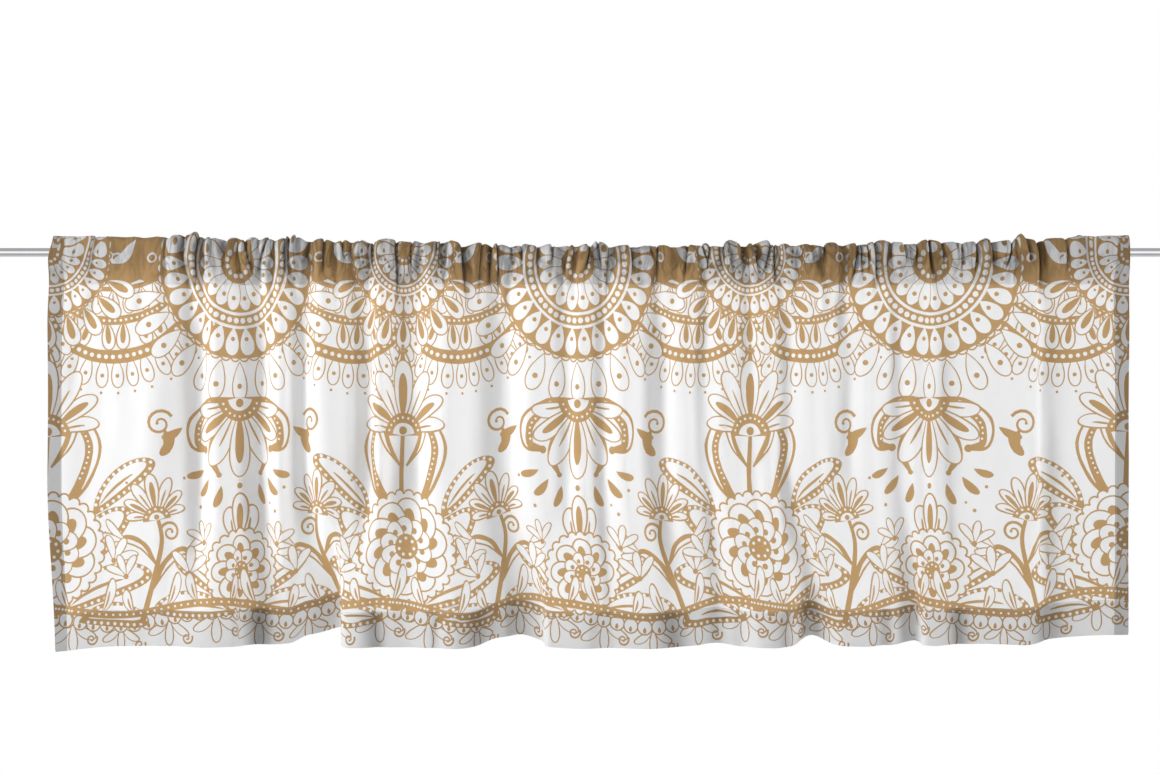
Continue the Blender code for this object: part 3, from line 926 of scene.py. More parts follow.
def leaf(x, y, angle, length, width, bend=0.0, rim=0.0088):
    """A solid leaf with a bare inner leaf, a vein and a row of bare dots in its rim."""
    drop(x, y, angle, length, width, INK, bend, 0.6)
    start = placed([(0.0, rim * 1.8)], x, y, angle)[0]
    inner = length - 2.9 * rim
    drop(*start, angle, inner, width - 2 * rim, BARE, bend, 0.6)
    drop(*start, angle, inner * 0.74, width * 0.10, INK, bend, 0.6)
    edge = drop_outline(length - rim, width - rim, bend, 0.6)
    edge = placed(edge + [0.0, rim * 0.5], x, y, angle)[2:-1]
    beads(edge, 0.0106, 0.0026)


def curl(points, width, side=1, dots=True):
    """A curled leaf: a brush line that swells, with a bare crescent and dots in its belly."""
    line = curve_through(points, 7)
    stroke(line, (width * 0.18, width * 0.8, width, width * 0.75, width * 0.3))
    disc(*line[-1], width * 0.24, INK)
    count = len(line)
    along = unit(np.gradient(line, axis=0))
    across = np.stack([-along[:, 1], along[:, 0]], axis=1) * side
    belly = (line + across * width * 0.14)[int(count * 0.22): int(count * 0.80)]
    stroke(belly, (width * 0.04, width * 0.30, width * 0.34, width * 0.06), BARE)
    if dots:
        rim = (line - across * width * 0.26)[int(count * 0.25): int(count * 0.78)]
        beads(rim, 0.0084, 0.0018)


def palmette(x, y, angle, size):
    """A fan of outlined petals over a beaded arch."""
    fan = ((66, 0.62, 0.22), (44, 0.78, 0.25), (22, 0.92, 0.27), (0, 1.0, 0.30))
    for lean, reach, wide in fan:
        heart = "solid" if lean in (0, 44) else "vein"
        for turn in {lean, -lean}:
            foot = placed([(0.0, size * 0.16)], x, y, angle + turn)[0]
            petal(*foot, angle + turn, size * 0.84 * reach, size * wide, 0.0023, turn / 300, heart)
    paint(placed(np.vstack([arc(0, 0, size * 0.30, -88, 88), [(0, 0)]]), x, y, angle), INK)
    beads(placed(arc(0, 0, size * 0.24, -80, 80), x, y, angle), 0.0088, 0.0020)
    paint(placed(np.vstack([arc(0, 0, size * 0.17, -80, 80), [(0, 0)]]), x, y, angle), BARE)
    disc(*placed([(0.0, size * 0.07)], x, y, angle)[0], size * 0.055, INK)


def sprig(x, y, angle, size, spread_angle=42):
    """Three thin outlined petals on a small seed."""
    for turn in (-spread_angle, 0, spread_angle):
        petal(x, y, angle + turn, size, size * 0.38, 0.0019, turn / 200, "none")
    disc(*placed([(0.0, 0.001)], x, y, angle)[0], 0.0042, INK)


def rosette(x, y, radius):
    """A lace rosette: loops, bare drops, a beaded ring, seeded petals and a dotted heart."""
    loops(arc(x, y, radius * 0.93, 0, 360), radius * 0.104, 0.0023, 1)
    disc(x, y, radius * 0.93, INK)

    def bare_drop(cx, cy, angle):
        drop(cx, cy, angle, radius * 0.27, radius * 0.145, BARE)

    def seed(cx, cy, angle):
        disc(cx, cy, radius * 0.022, INK)

    def seeded(cx, cy, angle):
        petal(cx, cy, angle, radius * 0.33, radius * 0.15, 0.0014, 0.0, "seed")

    ring(30, x, y, 0, 360, radius * 0.63, bare_drop)
    ring(30, x, y, 0, 360, radius * 0.74, seed)
    disc(x, y, radius * 0.64, BARE)
    disc(x, y, radius * 0.61, INK)
    beads(arc(x, y, radius * 0.56, 0, 360), radius * 0.075, radius * 0.029)
    disc(x, y, radius * 0.51, BARE)
    disc(x, y, radius * 0.48, INK)
    ring(18, x, y, 0, 360, radius * 0.14, seeded)
    disc(x, y, radius * 0.20, INK)
    beads(arc(x, y, radius * 0.13, 0, 360), radius * 0.07, radius * 0.024)


def flower(x, y, radius, turn, count):
    """An open flower: an outer and an inner round of petals and a dotted heart."""

    def outer(cx, cy, angle):
        petal(cx, cy, angle, radius, radius * 0.66, 0.0026, 0.05, "solid")

    def inner(cx, cy, angle):
        petal(cx, cy, angle, radius * 0.62, radius * 0.42, 0.0020, -0.08, "seed")

    disc(x, y, radius * 0.74, INK)
    ring(count, x, y, turn, turn + 360, 0.0, outer)
    shift = turn + 180 / count
    ring(count, x, y, shift, shift + 360, 0.0, inner)
    disc(x, y, radius * 0.26, INK)
    beads(arc(x, y, radius * 0.17, 0, 360), radius * 0.15, radius * 0.035)


def mirror_from(start):
    """Repeats what was painted since a start as its mirror image in the repeat's middle."""
    for outline, ink in list(painted[start:]):
        paint(np.stack([REPEAT - outline[:, 0], outline[:, 1]], axis=1), ink)


def paint_heading():
    """Solid ink over the pocket with a toothed lower edge, and bare leaves and rings in it."""
    teeth = [(step * REPEAT / 36, 0.040 + 0.007 * (step % 2)) for step in range(37)]
    paint([(0, -0.0895), *teeth, (REPEAT, -0.0895)], INK)
    for column in range(12):
        x = (column + 0.5) * REPEAT / 12
        turn, bend = (34, 0.25) if column % 2 else (-34, -0.25)
        for y in (-0.082, -0.046, -0.010):
            drop(x, y, turn, 0.037, 0.0155, BARE, bend)
            disc(x + REPEAT / 24, y + 0.018, 0.0074, BARE)
            disc(x + REPEAT / 24, y + 0.018, 0.0048, INK)


def paint_swag(line, pitch, length, width, rim, heart, sway=0):
    """Petals hanging from a swag."""
    for index, ((x, y), angle) in enumerate(spread(line, pitch)):
        petal(x, y, angle - 90 + sway * (-1) ** index, length, width, rim, 0.0, heart)


def paint_upper_border():
    """Rosettes with fringes and pendants, and the swags between them."""
    paint_heading()
    start = len(painted)
    lower = curve_through([(-0.015, 0.105), (0.066, 0.150), (0.148, 0.143), (0.212, 0.095)], 12)
    paint_swag(lower, 0.0195, 0.046, 0.020, 0.0019, "seed")
    for (x, y), angle in spread(lower, 0.0195):
        disc(*placed([(0.0, 0.053)], x, y, angle - 90)[0], 0.0021, INK)
    middle = curve_through([(-0.013, 0.058), (0.068, 0.098), (0.148, 0.090), (0.205, 0.048)], 12)
    paint_swag(middle, 0.0235, 0.044, 0.022, 0.0021, "solid", 8)
    stroke(lower, (0.016, 0.020, 0.016))
    beads(lower, 0.0108, 0.0033)
    stroke(middle, (0.010, 0.013, 0.010))
    beads(middle, 0.0084, 0.0021)
    upper = curve_through([(-0.013, 0.018), (0.066, 0.052), (0.145, 0.046), (0.198, 0.010)], 12)
    paint_swag(upper, 0.0215, 0.038, 0.020, 0.0019, "vein")
    stroke(upper, (0.006, 0.007, 0.006))
    mirror_from(start)

    def fringe(cx, cy, angle):
        petal(cx, cy, angle, 0.060, 0.027, 0.0020, 0.0, "seed")

    def small_fringe(cx, cy, angle):
        petal(cx, cy, angle, 0.048, 0.026, 0.0020, 0.0, "solid")

    ring(13, HALF, 0.016, -78, 78, 0.143, fringe)
    rosette(HALF, 0.016, 0.150)
    start = len(painted)
    outer_curl = [(0.010, 0.214), (0.051, 0.222), (0.084, 0.248), (0.084, 0.281), (0.061, 0.288)]
    inner_curl = [(0.008, 0.240), (0.031, 0.260), (0.046, 0.296), (0.033, 0.324)]
    curl([(HALF + x, y) for x, y in outer_curl], 0.024, -1)
    curl([(HALF + x, y) for x, y in inner_curl], 0.017, -1, False)
    spiral(HALF + 0.122, 0.240, 150, 0.0205, 1.4, 1, (0.0048, 0.0026))
    for x, y, angle, length in (
        (0.118, 0.262, 18, 0.040), (0.134, 0.258, -22, 0.036), (0.104, 0.256, 52, 0.036),
        (0.052, 0.330, 30, 0.034), (0.030, 0.340, 8, 0.032), (0.068, 0.318, 58, 0.030),
    ):
        drop(HALF + x, y, angle, length, length * 0.38, INK, 0.2)
    mirror_from(start)
    palmette(HALF, 0.212, 0, 0.118)
    for y, radius in ((0.342, 0.0044), (0.355, 0.0033), (0.366, 0.0024)):
        disc(HALF, y, radius, INK)
    ring(9, 0.0, 0.0, -72, 72, 0.094, small_fringe)
    rosette(0.0, 0.0, 0.100)
    petal(0.0, 0.138, 0, 0.058, 0.028, 0.0029, 0.0, "solid")
    for y, radius in ((0.205, 0.0034), (0.216, 0.0025)):
        disc(0.0, y, radius, INK)


def paint_lower_border():
    """A beaded vine over the hem, with hanging drops, flowers, leaves and sprays."""
    steps = np.linspace(-0.03, REPEAT + 0.03, 49)
    height = 0.521 + 0.011 * np.sin(4 * np.pi * steps / REPEAT - 0.6)
    vine = np.stack([steps, height], axis=1)
    for x, size in zip(np.arange(8) * REPEAT / 8 + 0.030, (1.0, 0.8, 0.9, 1.0) * 2):
        y = np.interp(x, *vine.T) + 0.017
        sprig(x, y, 0, 0.044 * size)
        spiral(x + REPEAT / 16, y + 0.023, 25, 0.0095, 1.3, 1, (0.0030, 0.0018))
    loops(vine + [0.0, 0.010], 0.0215, 0.0021, -1)
    for hand in (1, -1):
        leaf(hand * 0.040, 0.538, 180 - hand * 74, 0.106, 0.040, -hand * 0.3)
        leaf(hand * 0.014, 0.524, 180 - hand * 52, 0.146, 0.053, -hand * 0.28)
        leaf(hand * 0.008, 0.500, 180 - hand * 30, 0.165, 0.055, -hand * 0.2)
        leaf(hand * 0.066, 0.384, 180 - hand * 34, 0.118, 0.042, -hand * 0.25)
        lyre = [(0.012, 0.385), (0.050, 0.336), (0.066, 0.284), (0.046, 0.246), (0.026, 0.262)]
        curl([(hand * x, y) for x, y in lyre], 0.025, hand)
        tendril = [(0.005, 0.312), (0.031, 0.276), (0.038, 0.236), (0.022, 0.210)]
        curl([(hand * x, y) for x, y in tendril], 0.016, hand, False)
    stem = curve_through([(0.0, 0.53), (0.005, 0.45), (-0.004, 0.36), (0.0, 0.262)], 6)
    stroke(stem, (0.012, 0.009, 0.006))
    palmette(0.0, 0.268, 180, 0.112)
    for y, radius in ((0.148, 0.0038), (0.137, 0.0028)):
        disc(0.0, y, radius, INK)
    loops(arc(0.0, 0.430, 0.079, 0, 360), 0.0166, 0.0026, 1)
    disc(0.0, 0.430, 0.0765, BARE)
    flower(0.0, 0.430, 0.072, 8, 10)
    for hand in (1, -1):
        leaf(HALF + hand * 0.016, 0.528, 180 - hand * 70, 0.125, 0.045, -hand * 0.3)
        leaf(HALF + hand * 0.010, 0.515, 180 - hand * 42, 0.120, 0.043, -hand * 0.25)
        petal(HALF + hand * 0.008, 0.424, 180 - hand * 22, 0.054, 0.025, 0.0027, hand * 0.15)
    petal(HALF, 0.424, 180, 0.072, 0.030, 0.0029, 0.0, "solid")
    loops(arc(HALF, 0.466, 0.058, 0, 360), 0.0156, 0.0026, 1)
    disc(HALF, 0.466, 0.0560, BARE)
    flower(HALF, 0.466, 0.052, 20, 8)
    for x, hand in ((0.160, 1), (REPEAT - 0.160, -1)):
        stalk = [(-0.020, 0.545), (-0.003, 0.485), (0.010, 0.425), (0.003, 0.385)]
        first = [(-0.003, 0.495), (0.016, 0.458), (0.044, 0.436), (0.060, 0.450)]
        second = [(0.003, 0.458), (-0.018, 0.430), (-0.046, 0.420), (-0.052, 0.440)]
        stroke(curve_through([(x + hand * a, b) for a, b in stalk], 6), (0.009, 0.007, 0.005))
        curl([(x + hand * a, b) for a, b in first], 0.016, hand, False)
        curl([(x + hand * a, b) for a, b in second], 0.015, -hand, False)
        spiral(x + hand * 0.008, 0.404, 160 * hand, 0.016, 1.4, hand, (0.0044, 0.0024))
        palmette(x + hand * 0.003, 0.392, 180 + hand * 10, 0.070)
        for turn, reach in ((56, 0.046), (84, 0.040), (112, 0.032)):
            for beside, y, way in ((0.048, 0.436, hand), (-0.042, 0.424, -hand)):
                lean = 180 - way * turn
                petal(x + hand * beside, y, lean, reach, 0.0135, 0.0018, way * 0.2, "none")
    for x, y, angle, size in (
        (0.096, 0.452, 150, 0.040), (0.116, 0.476, 200, 0.036), (0.214, 0.470, 176, 0.042),
        (0.240, 0.424, 196, 0.034), (0.372, 0.430, 168, 0.036), (0.398, 0.474, 184, 0.042),
        (0.494, 0.470, 160, 0.036), (0.516, 0.450, 208, 0.040),
    ):
        sprig(x, y, angle, size, 34)
    for x, y, radius in (
        (0.108, 0.352, 0.0028), (0.117, 0.337, 0.0021), (0.205, 0.330, 0.0023),
        (0.230, 0.372, 0.0028), (0.515, 0.332, 0.0023), (0.496, 0.348, 0.0028),
        (0.392, 0.345, 0.0026), (0.374, 0.380, 0.0028), (0.362, 0.368, 0.0020),
    ):
        disc(x, y, radius, INK)
    for step in range(12):
        x = (step + 0.5) * REPEAT / 12
        y = np.interp(x, *vine.T)
        lean, bend = (146, 0.25) if step % 2 else (214, -0.25)
        petal(x, y, lean, 0.048 + 0.010 * math.sin(step * 2.4), 0.0175, 0.0022, bend)
    stroke(vine, (0.0125, 0.0105, 0.0125, 0.0105, 0.0125))
    beads(vine, 0.0110, 0.0019)


paint_upper_border()
paint_lower_border()


def repeated(shapes, low, high):
    """The painted outlines of every repeat that reaches between two places across."""
    found = []
    for outline, ink in shapes:
        for turn in range(-1, REPEATS + 2):
            moved = outline + [turn * REPEAT, 0.0]
            if moved[:, 0].max() > low and moved[:, 0].min() < high:
                found.append((moved, ink))
    return found


def inked(places, shapes):
    """Whether each place of the flat cloth ends up in ink, painting the outlines in turn."""
    order = np.argsort(places[:, 0])
    ordered = places[order, 0]
    found = np.zeros(len(places), bool)
    for outline, ink in shapes:
        first, last = np.searchsorted(ordered, [outline[:, 0].min(), outline[:, 0].max()])
        near = order[first:last]
        height = places[near, 1]
        near = near[(height > outline[:, 1].min()) & (height < outline[:, 1].max())]
        if not len(near):
            continue
        x, y = places[near].T[:, :, None]
        start_x, start_y = outline.T
        end_x, end_y = np.roll(outline, -1, axis=0).T
        passes = (start_y > y) != (end_y > y)
        rise = np.where(end_y == start_y, 1e-12, end_y - start_y)
        meets = start_x + (y - start_y) * (end_x - start_x) / rise
        inside = ((passes & (x < meets)).sum(axis=1) % 2) == 1
        found[near[inside]] = ink
    return found


def triangulated(places, edges):
    """Places and triangles of a flat mesh that holds all of the edges."""
    flat = [Vector((float(x), float(y))) for x, y in places]
    edges = [(int(a), int(b)) for a, b in edges]
    made = delaunay_2d_cdt(flat, edges, [], 0, 1e-6, False)
    return np.array([tuple(place) for place in made[0]]), np.array(made[2])


def shared_edges(triangles, count):
    """Every edge of the triangles, sorted so that the two sides of one edge follow on."""
    pairs = [triangles[:, [0, 1]], triangles[:, [1, 2]], triangles[:, [2, 0]]]
    directed = np.concatenate(pairs)
    ends = np.sort(directed, axis=1)
    key = ends[:, 0].astype(np.int64) * count + ends[:, 1]
    order = np.argsort(key, kind="stable")
    owner = np.tile(np.arange(len(triangles)), 3)
    return key[order], owner[order], directed[order]


def thinned(line, tolerance):
    """Which places of a line are needed to stay within a tolerance of its course."""
    keep = np.zeros(len(line), bool)
    keep[[0, -1]] = True
    spans = [(0, len(line) - 1)]
    while spans:
        first, last = spans.pop()
        if last - first < 2:
            continue
        chord = line[last] - line[first]
        offset = line[first + 1: last] - line[first]
        gap = np.hypot(*offset.T)
        if np.hypot(*chord) > 1e-9:
            gap = np.abs(offset[:, 0] * chord[1] - offset[:, 1] * chord[0]) / np.hypot(*chord)
        far = int(gap.argmax())
        if gap[far] > tolerance:
            middle = first + 1 + far
            keep[middle] = True
            spans += [(first, middle), (middle, last)]
    return np.flatnonzero(keep)


def chains_of(edges):
    """Joins edges into chains that run between junctions or round in a loop."""
    near = {}
    for a, b in edges:
        near.setdefault(a, []).append(b)
        near.setdefault(b, []).append(a)
    left = {(min(a, b), max(a, b)) for a, b in edges}
    chains = []

    def walk(start, step):
        chain = [start]
        while (min(start, step), max(start, step)) in left:
            left.discard((min(start, step), max(start, step)))
            chain.append(step)
            if len(near[step]) != 2:
                break
            onward = near[step][0] if near[step][1] == start else near[step][1]
            start, step = step, onward
        return chain

    for place, others in near.items():
        if len(others) != 2:
            for other in others:
                chain = walk(place, other)
                if len(chain) > 1:
                    chains.append(chain)
    for place, others in near.items():
        chain = walk(place, others[0])
        if len(chain) > 1:
            chains.append(chain)
    return chains


PRINT_TOLERANCE = 0.00027
SMALLEST_SPOT = 0.0004


def visible_outlines():
    """Where ink meets bare cloth in one repeat, as thinned lines."""
    shapes = repeated(painted, -0.05, REPEAT + 0.05)
    places, edges = [], []
    for outline, _ in shapes:
        base, count = len(places), len(outline)
        edges += [(base + i, base + (i + 1) % count) for i in range(count)]
        places += list(outline)
    places, triangles = triangulated(places, edges)
    ink = inked(places[triangles].mean(axis=1), shapes)
    key, owner, directed = shared_edges(triangles, len(places))
    same = np.flatnonzero(key[:-1] == key[1:])
    border = directed[same[ink[owner[same]] != ink[owner[same + 1]]]]
    middle = places[border].mean(axis=1)[:, 0]
    border = border[(middle >= 0) & (middle < REPEAT)]
    lines = []
    for chain in chains_of([(int(a), int(b)) for a, b in border]):
        line = places[chain]
        if np.ptp(line, axis=0).max() > SMALLEST_SPOT:
            lines.append(line[thinned(line, PRINT_TOLERANCE)])
    return lines


print_lines = visible_outlines()


# Cloth of the valance
# Light plain-woven cotton, white with the ochre print on its face. The top is turned to the back
# and sewn down as the pocket, and the sides and foot are turned and sewn as hems, so the cloth is
# doubled there and lets less light through. Where the cloth is doubled, and in the creases and
# hollows of its folds, its colour is also darkened as painted shade.
CLOTH_THICKNESS = 0.00044
WHITE = (0.88, 0.88, 0.885, 1.0)
OCHRE = (0.506, 0.317, 0.142, 1.0)
LIGHT_THROUGH = 0.46
LIGHT_THROUGH_DOUBLED = 0.12
# Painted shade: the colour darkens by a share for each extra layer of cloth, and more in the
# creases and hollows of the folds and along the crumpled lines of the heading.
LAYER_SHADE = 0.20
SIDE_LAYERS = 2.5
HEM_LAYERS = 1.1
MOST_LAYERS = 2.6
PAINTED_HOLLOW_SHADE = 0.56
CREASE_SHADE = 0.46
THREAD_PITCH = 0.00042

# Grid of the flat cut between two drops: how far apart its places are across and down.
Grid = namedtuple("Grid", "top foot across down")
FACE_GRIDS = (
    Grid(POCKET_TOP, -0.040, 0.0036, 0.0120),
    Grid(-0.040, 0.030, 0.0030, 0.0070),
    Grid(0.030, 0.085, 0.0036, 0.0090),
    Grid(0.085, CUT_FOOT, 0.0056, 0.0180),
)
REVERSE_GRIDS = (
    Grid(POCKET_TOP, -0.040, 0.0050, 0.0160),
    Grid(-0.040, 0.040, 0.0030, 0.0080),
    Grid(0.040, 0.085, 0.0045, 0.0110),
    Grid(0.085, 0.520, 0.0085, 0.0280),
    Grid(0.520, CUT_FOOT, 0.0062, 0.0140),
)
FOLD_LINES = tuple(FOLD_ARC * share for share in (0.0, 0.25, 0.5, 0.75, 1.0))
CUT_OUTLINE = (
    (-SIDE_HEM, POCKET_TOP),
    (-SIDE_HEM, SIDE_FLAP_END),
    (0.0, SIDE_FLAP_END),
    (0.0, CUT_FOOT),
    (FLAT_WIDTH, CUT_FOOT),
    (FLAT_WIDTH, SIDE_FLAP_END),
    (FLAT_WIDTH + SIDE_HEM, SIDE_FLAP_END),
    (FLAT_WIDTH + SIDE_HEM, POCKET_TOP),
)


def guide_lines():
    """Straight lines that the mesh keeps: its outline, the folds, the seams and hem edges."""
    lines = [list(pair) for pair in zip(CUT_OUTLINE, CUT_OUTLINE[1:] + CUT_OUTLINE[:1])]
    for turned in FOLD_LINES:
        for across in (-turned, FLAT_WIDTH + turned):
            lines.append([(across, POCKET_TOP), (across, SIDE_FLAP_END)])
        lines.append([(0.0, HEM_DROP + turned), (FLAT_WIDTH, HEM_DROP + turned)])
    for across in (SIDE_HEM, FLAT_WIDTH - SIDE_HEM):
        lines.append([(across, POCKET_TOP), (across, HEM_DROP)])
    for down in (POCKET_DROP, HEM_DROP - HEM_HEIGHT):
        lines.append([(-SIDE_HEM, down), (FLAT_WIDTH + SIDE_HEM, down)])
    return lines


def crease_guides():
    """Lines along each crease and beside it, so that the mesh folds there."""
    flat = np.linspace(0.0, FLAT_WIDTH, 4000)
    hung = drape.heading_x(flat / FLAT_WIDTH)
    lines = []
    for index, crease in enumerate(CREASES):
        hand = 1 if index % 3 else -1
        down = np.arange(-0.052, crease.drop + 0.014, 0.0062)
        for beside in (-0.0048, -0.0019, 0.0, 0.0028):
            across = np.interp(crease_x(crease, down) + hand * beside, hung, flat)
            lines.append(np.stack([across, down], axis=1))
    return lines


def in_steps(start, end, pitch):
    """A straight line cut into steps near a pitch."""
    start, end = np.array(start, float), np.array(end, float)
    count = max(1, round(np.hypot(*(end - start)) / pitch))
    return start + (end - start) * np.linspace(0, 1, count + 1)[:, None]


def grid_places(grids):
    """Loose places over the flat cut, every second row shifted by half a step."""
    found = []
    for grid in grids:
        rows = max(1, round((grid.foot - grid.top) / grid.down))
        for row in range(rows):
            down = grid.top + (grid.foot - grid.top) * (row + 0.5) / rows
            shift = grid.across * (0.25 if row % 2 else -0.25)
            across = np.arange(-SIDE_HEM + grid.across / 2, FLAT_WIDTH + SIDE_HEM, grid.across)
            found.append(np.stack([across + shift, np.full(len(across), down)], axis=1))
    return np.concatenate(found)


def away_from(loose, lines, reach):
    """The loose places that keep a distance from all lines."""
    cells = set()
    for line in lines:
        for start, end in zip(line, line[1:]):
            for place in in_steps(start, end, reach):
                x, y = int(place[0] // reach), int(place[1] // reach)
                cells.update((x + i, y + j) for i in (-1, 0, 1) for j in (-1, 0, 1))
    taken = [(int(x // reach), int(y // reach)) in cells for x, y in loose]
    return loose[~np.array(taken)]


def in_cut(places):
    """Whether each place lies on the flat cut."""
    x, y = places.T
    beside = (x < 0) | (x > FLAT_WIDTH)
    inside = (x > -SIDE_HEM) & (x < FLAT_WIDTH + SIDE_HEM) & (y > POCKET_TOP) & (y < CUT_FOOT)
    return inside & ~(beside & (y > SIDE_FLAP_END))


def meshed(lines, loose):
    """Triangles of the flat cut that keep the lines and use the loose places."""
    places, edges = [], []
    for line in lines:
        base = len(places)
        places += list(line)
        edges += [(base + i, base + i + 1) for i in range(len(line) - 1)]
    places, triangles = triangulated(places + list(loose), edges)
    triangles = triangles[in_cut(places[triangles].mean(axis=1))]
    used = np.unique(triangles)
    fresh = np.full(len(places), -1)
    fresh[used] = np.arange(len(used))
    return places[used], fresh[triangles]


def outer_edges(places, triangles):
    """The directed edges round the outside of a flat mesh."""
    key, _, directed = shared_edges(triangles, len(places))
    _, first, count = np.unique(key, return_index=True, return_counts=True)
    return directed[first[count == 1]]


def layers_and_painted_shade_at(places):
    """How many layers of cloth lie together at each place of the flat cut. This sets how much
    light passes and how dark the painted shade in the colour is. The side hems and the heading
    count for more than their layers to darken their painted shade, and the heading is darkest at
    its top, where the rod stands behind it."""
    across, down = places.T
    from_side = np.minimum(across, FLAT_WIDTH - across)
    side = SIDE_LAYERS * (from_side < SIDE_HEM)
    # The heading's painted shade is darkest at its top and fades towards its seam.
    heading = (down < POCKET_DROP) * (1.0 + 1.0 * (1 - smooth_step(down, 0.004, POCKET_DROP)))
    return 1.0 + side + heading + HEM_LAYERS * (down > HEM_DROP - HEM_HEIGHT)


SEAM_BAND = 0.004
REVERSE_MARGIN = 1.4
REVERSE_ROOM = 0.0045
TURNED_ROOM = 0.0012


def surface_at(places, triangles, values, spots):
    """The corners of the flat triangle that holds each spot, and the values between them."""
    tree = BVHTree.FromPolygons([(x, y, 0.0) for x, y in places], triangles.tolist())
    corners = triangles[[tree.find_nearest((x, y, 0.0))[2] for x, y in spots]].T
    first, second, third = places[corners]
    one, two, beyond = second - first, third - first, spots - first
    area = one[:, 0] * two[:, 1] - one[:, 1] * two[:, 0]
    share_two = (beyond[:, 0] * two[:, 1] - beyond[:, 1] * two[:, 0]) / area
    share_three = (one[:, 0] * beyond[:, 1] - one[:, 1] * beyond[:, 0]) / area
    shares = np.stack([1 - share_two - share_three, share_two, share_three]).clip(0, 1)
    return corners, (values[corners] * shares[:, :, None]).sum(axis=0)


def moved_back(face, face_triangles, reverse, reverse_triangles, hung):
    """How far each place of the coarse reverse moves back, so that its flat triangles stay
    behind the finer folds of the face. Each row of hung is a point and its way out."""
    ends = reverse[reverse_triangles]
    middles = [(ends[:, i] + ends[:, (i + 1) % 3]) / 2 for i in range(3)]
    spots = np.concatenate([face, reverse, ends.mean(axis=1), *middles])
    _, ahead = surface_at(face, face_triangles, hung[: len(face)], spots)
    corners, behind = surface_at(reverse, reverse_triangles, hung[len(face):], spots)
    proud = ((behind - ahead)[:, :3] * ahead[:, 3:]).sum(axis=1)
    move = np.zeros(len(reverse))
    for corner in corners:
        np.maximum.at(move, corner, proud)
    across, down = reverse.T
    turned = np.minimum(across, FLAT_WIDTH - across) < SIDE_HEM + SEAM_BAND
    turned |= (down > HEM_DROP - HEM_HEIGHT - SEAM_BAND) | (down < POCKET_DROP)
    return np.minimum(REVERSE_MARGIN * move, np.where(turned, TURNED_ROOM, REVERSE_ROOM))


FACE_CLEAR = 0.0013
REVERSE_CLEAR = 0.0016


def printed_face():
    """Places and triangles of the face, which keep the print's outlines and the creases."""
    repeats = []
    for turn in range(-1, REPEATS + 1):
        for line in print_lines:
            moved = line + [turn * REPEAT, 0.0]
            if moved[:, 0].max() > -SIDE_HEM and moved[:, 0].min() < FLAT_WIDTH + SIDE_HEM:
                repeats.append(moved)
    guides = [in_steps(start, end, 0.005) for start, end in guide_lines()] + crease_guides()
    loose = away_from(grid_places(FACE_GRIDS), guides + repeats, FACE_CLEAR)
    return meshed(guides + repeats, loose)


def plain_reverse(outside):
    """Places and triangles of the coarser reverse, with the face's edges round its outside."""
    coarse = [in_steps(start, end, 0.010) for start, end in guide_lines()[len(CUT_OUTLINE):]]
    coarse += crease_guides()[::4] + crease_guides()[2::4]
    loose = away_from(grid_places(REVERSE_GRIDS), coarse + outside, REVERSE_CLEAR)
    return meshed(outside + coarse, loose)


def partners(face, reverse, rim):
    """Which place of the reverse lies behind each place of the rim."""
    known = {tuple(np.round(place, 6)): index for index, place in enumerate(reverse)}
    found = {}
    for index in np.unique(rim):
        spot = tuple(np.round(face[index], 6))
        if spot not in known:
            known[spot] = int(np.hypot(*(reverse - face[index]).T).argmin())
        found[int(index)] = known[spot]
    return found


def add_maps(mesh, flat, kinds):
    """The flat cut in metres, for the weave, and a map named OFBake, which has a strip for each
    material."""
    corners = np.empty(len(mesh.loops), np.int32)
    mesh.loops.foreach_get("vertex_index", corners)
    sizes = np.empty(len(mesh.polygons), np.int32)
    mesh.polygons.foreach_get("loop_total", sizes)
    weave_map = mesh.uv_layers.new(name="flat")
    weave_map.data.foreach_set("uv", flat[corners].astype(np.float32).ravel())
    strip = (flat - [-SIDE_HEM, POCKET_TOP]) / [FLAT_WIDTH + 2 * SIDE_HEM, CUT_FOOT - POCKET_TOP]
    baked = strip[corners] * [0.992, 0.322] + [0.004, 0.006]
    baked[:, 1] += np.repeat(kinds, sizes) / 3
    bake_map = mesh.uv_layers.new(name="OFBake")
    bake_map.data.foreach_set("uv", baked.astype(np.float32).ravel())
    mesh.uv_layers.active = bake_map


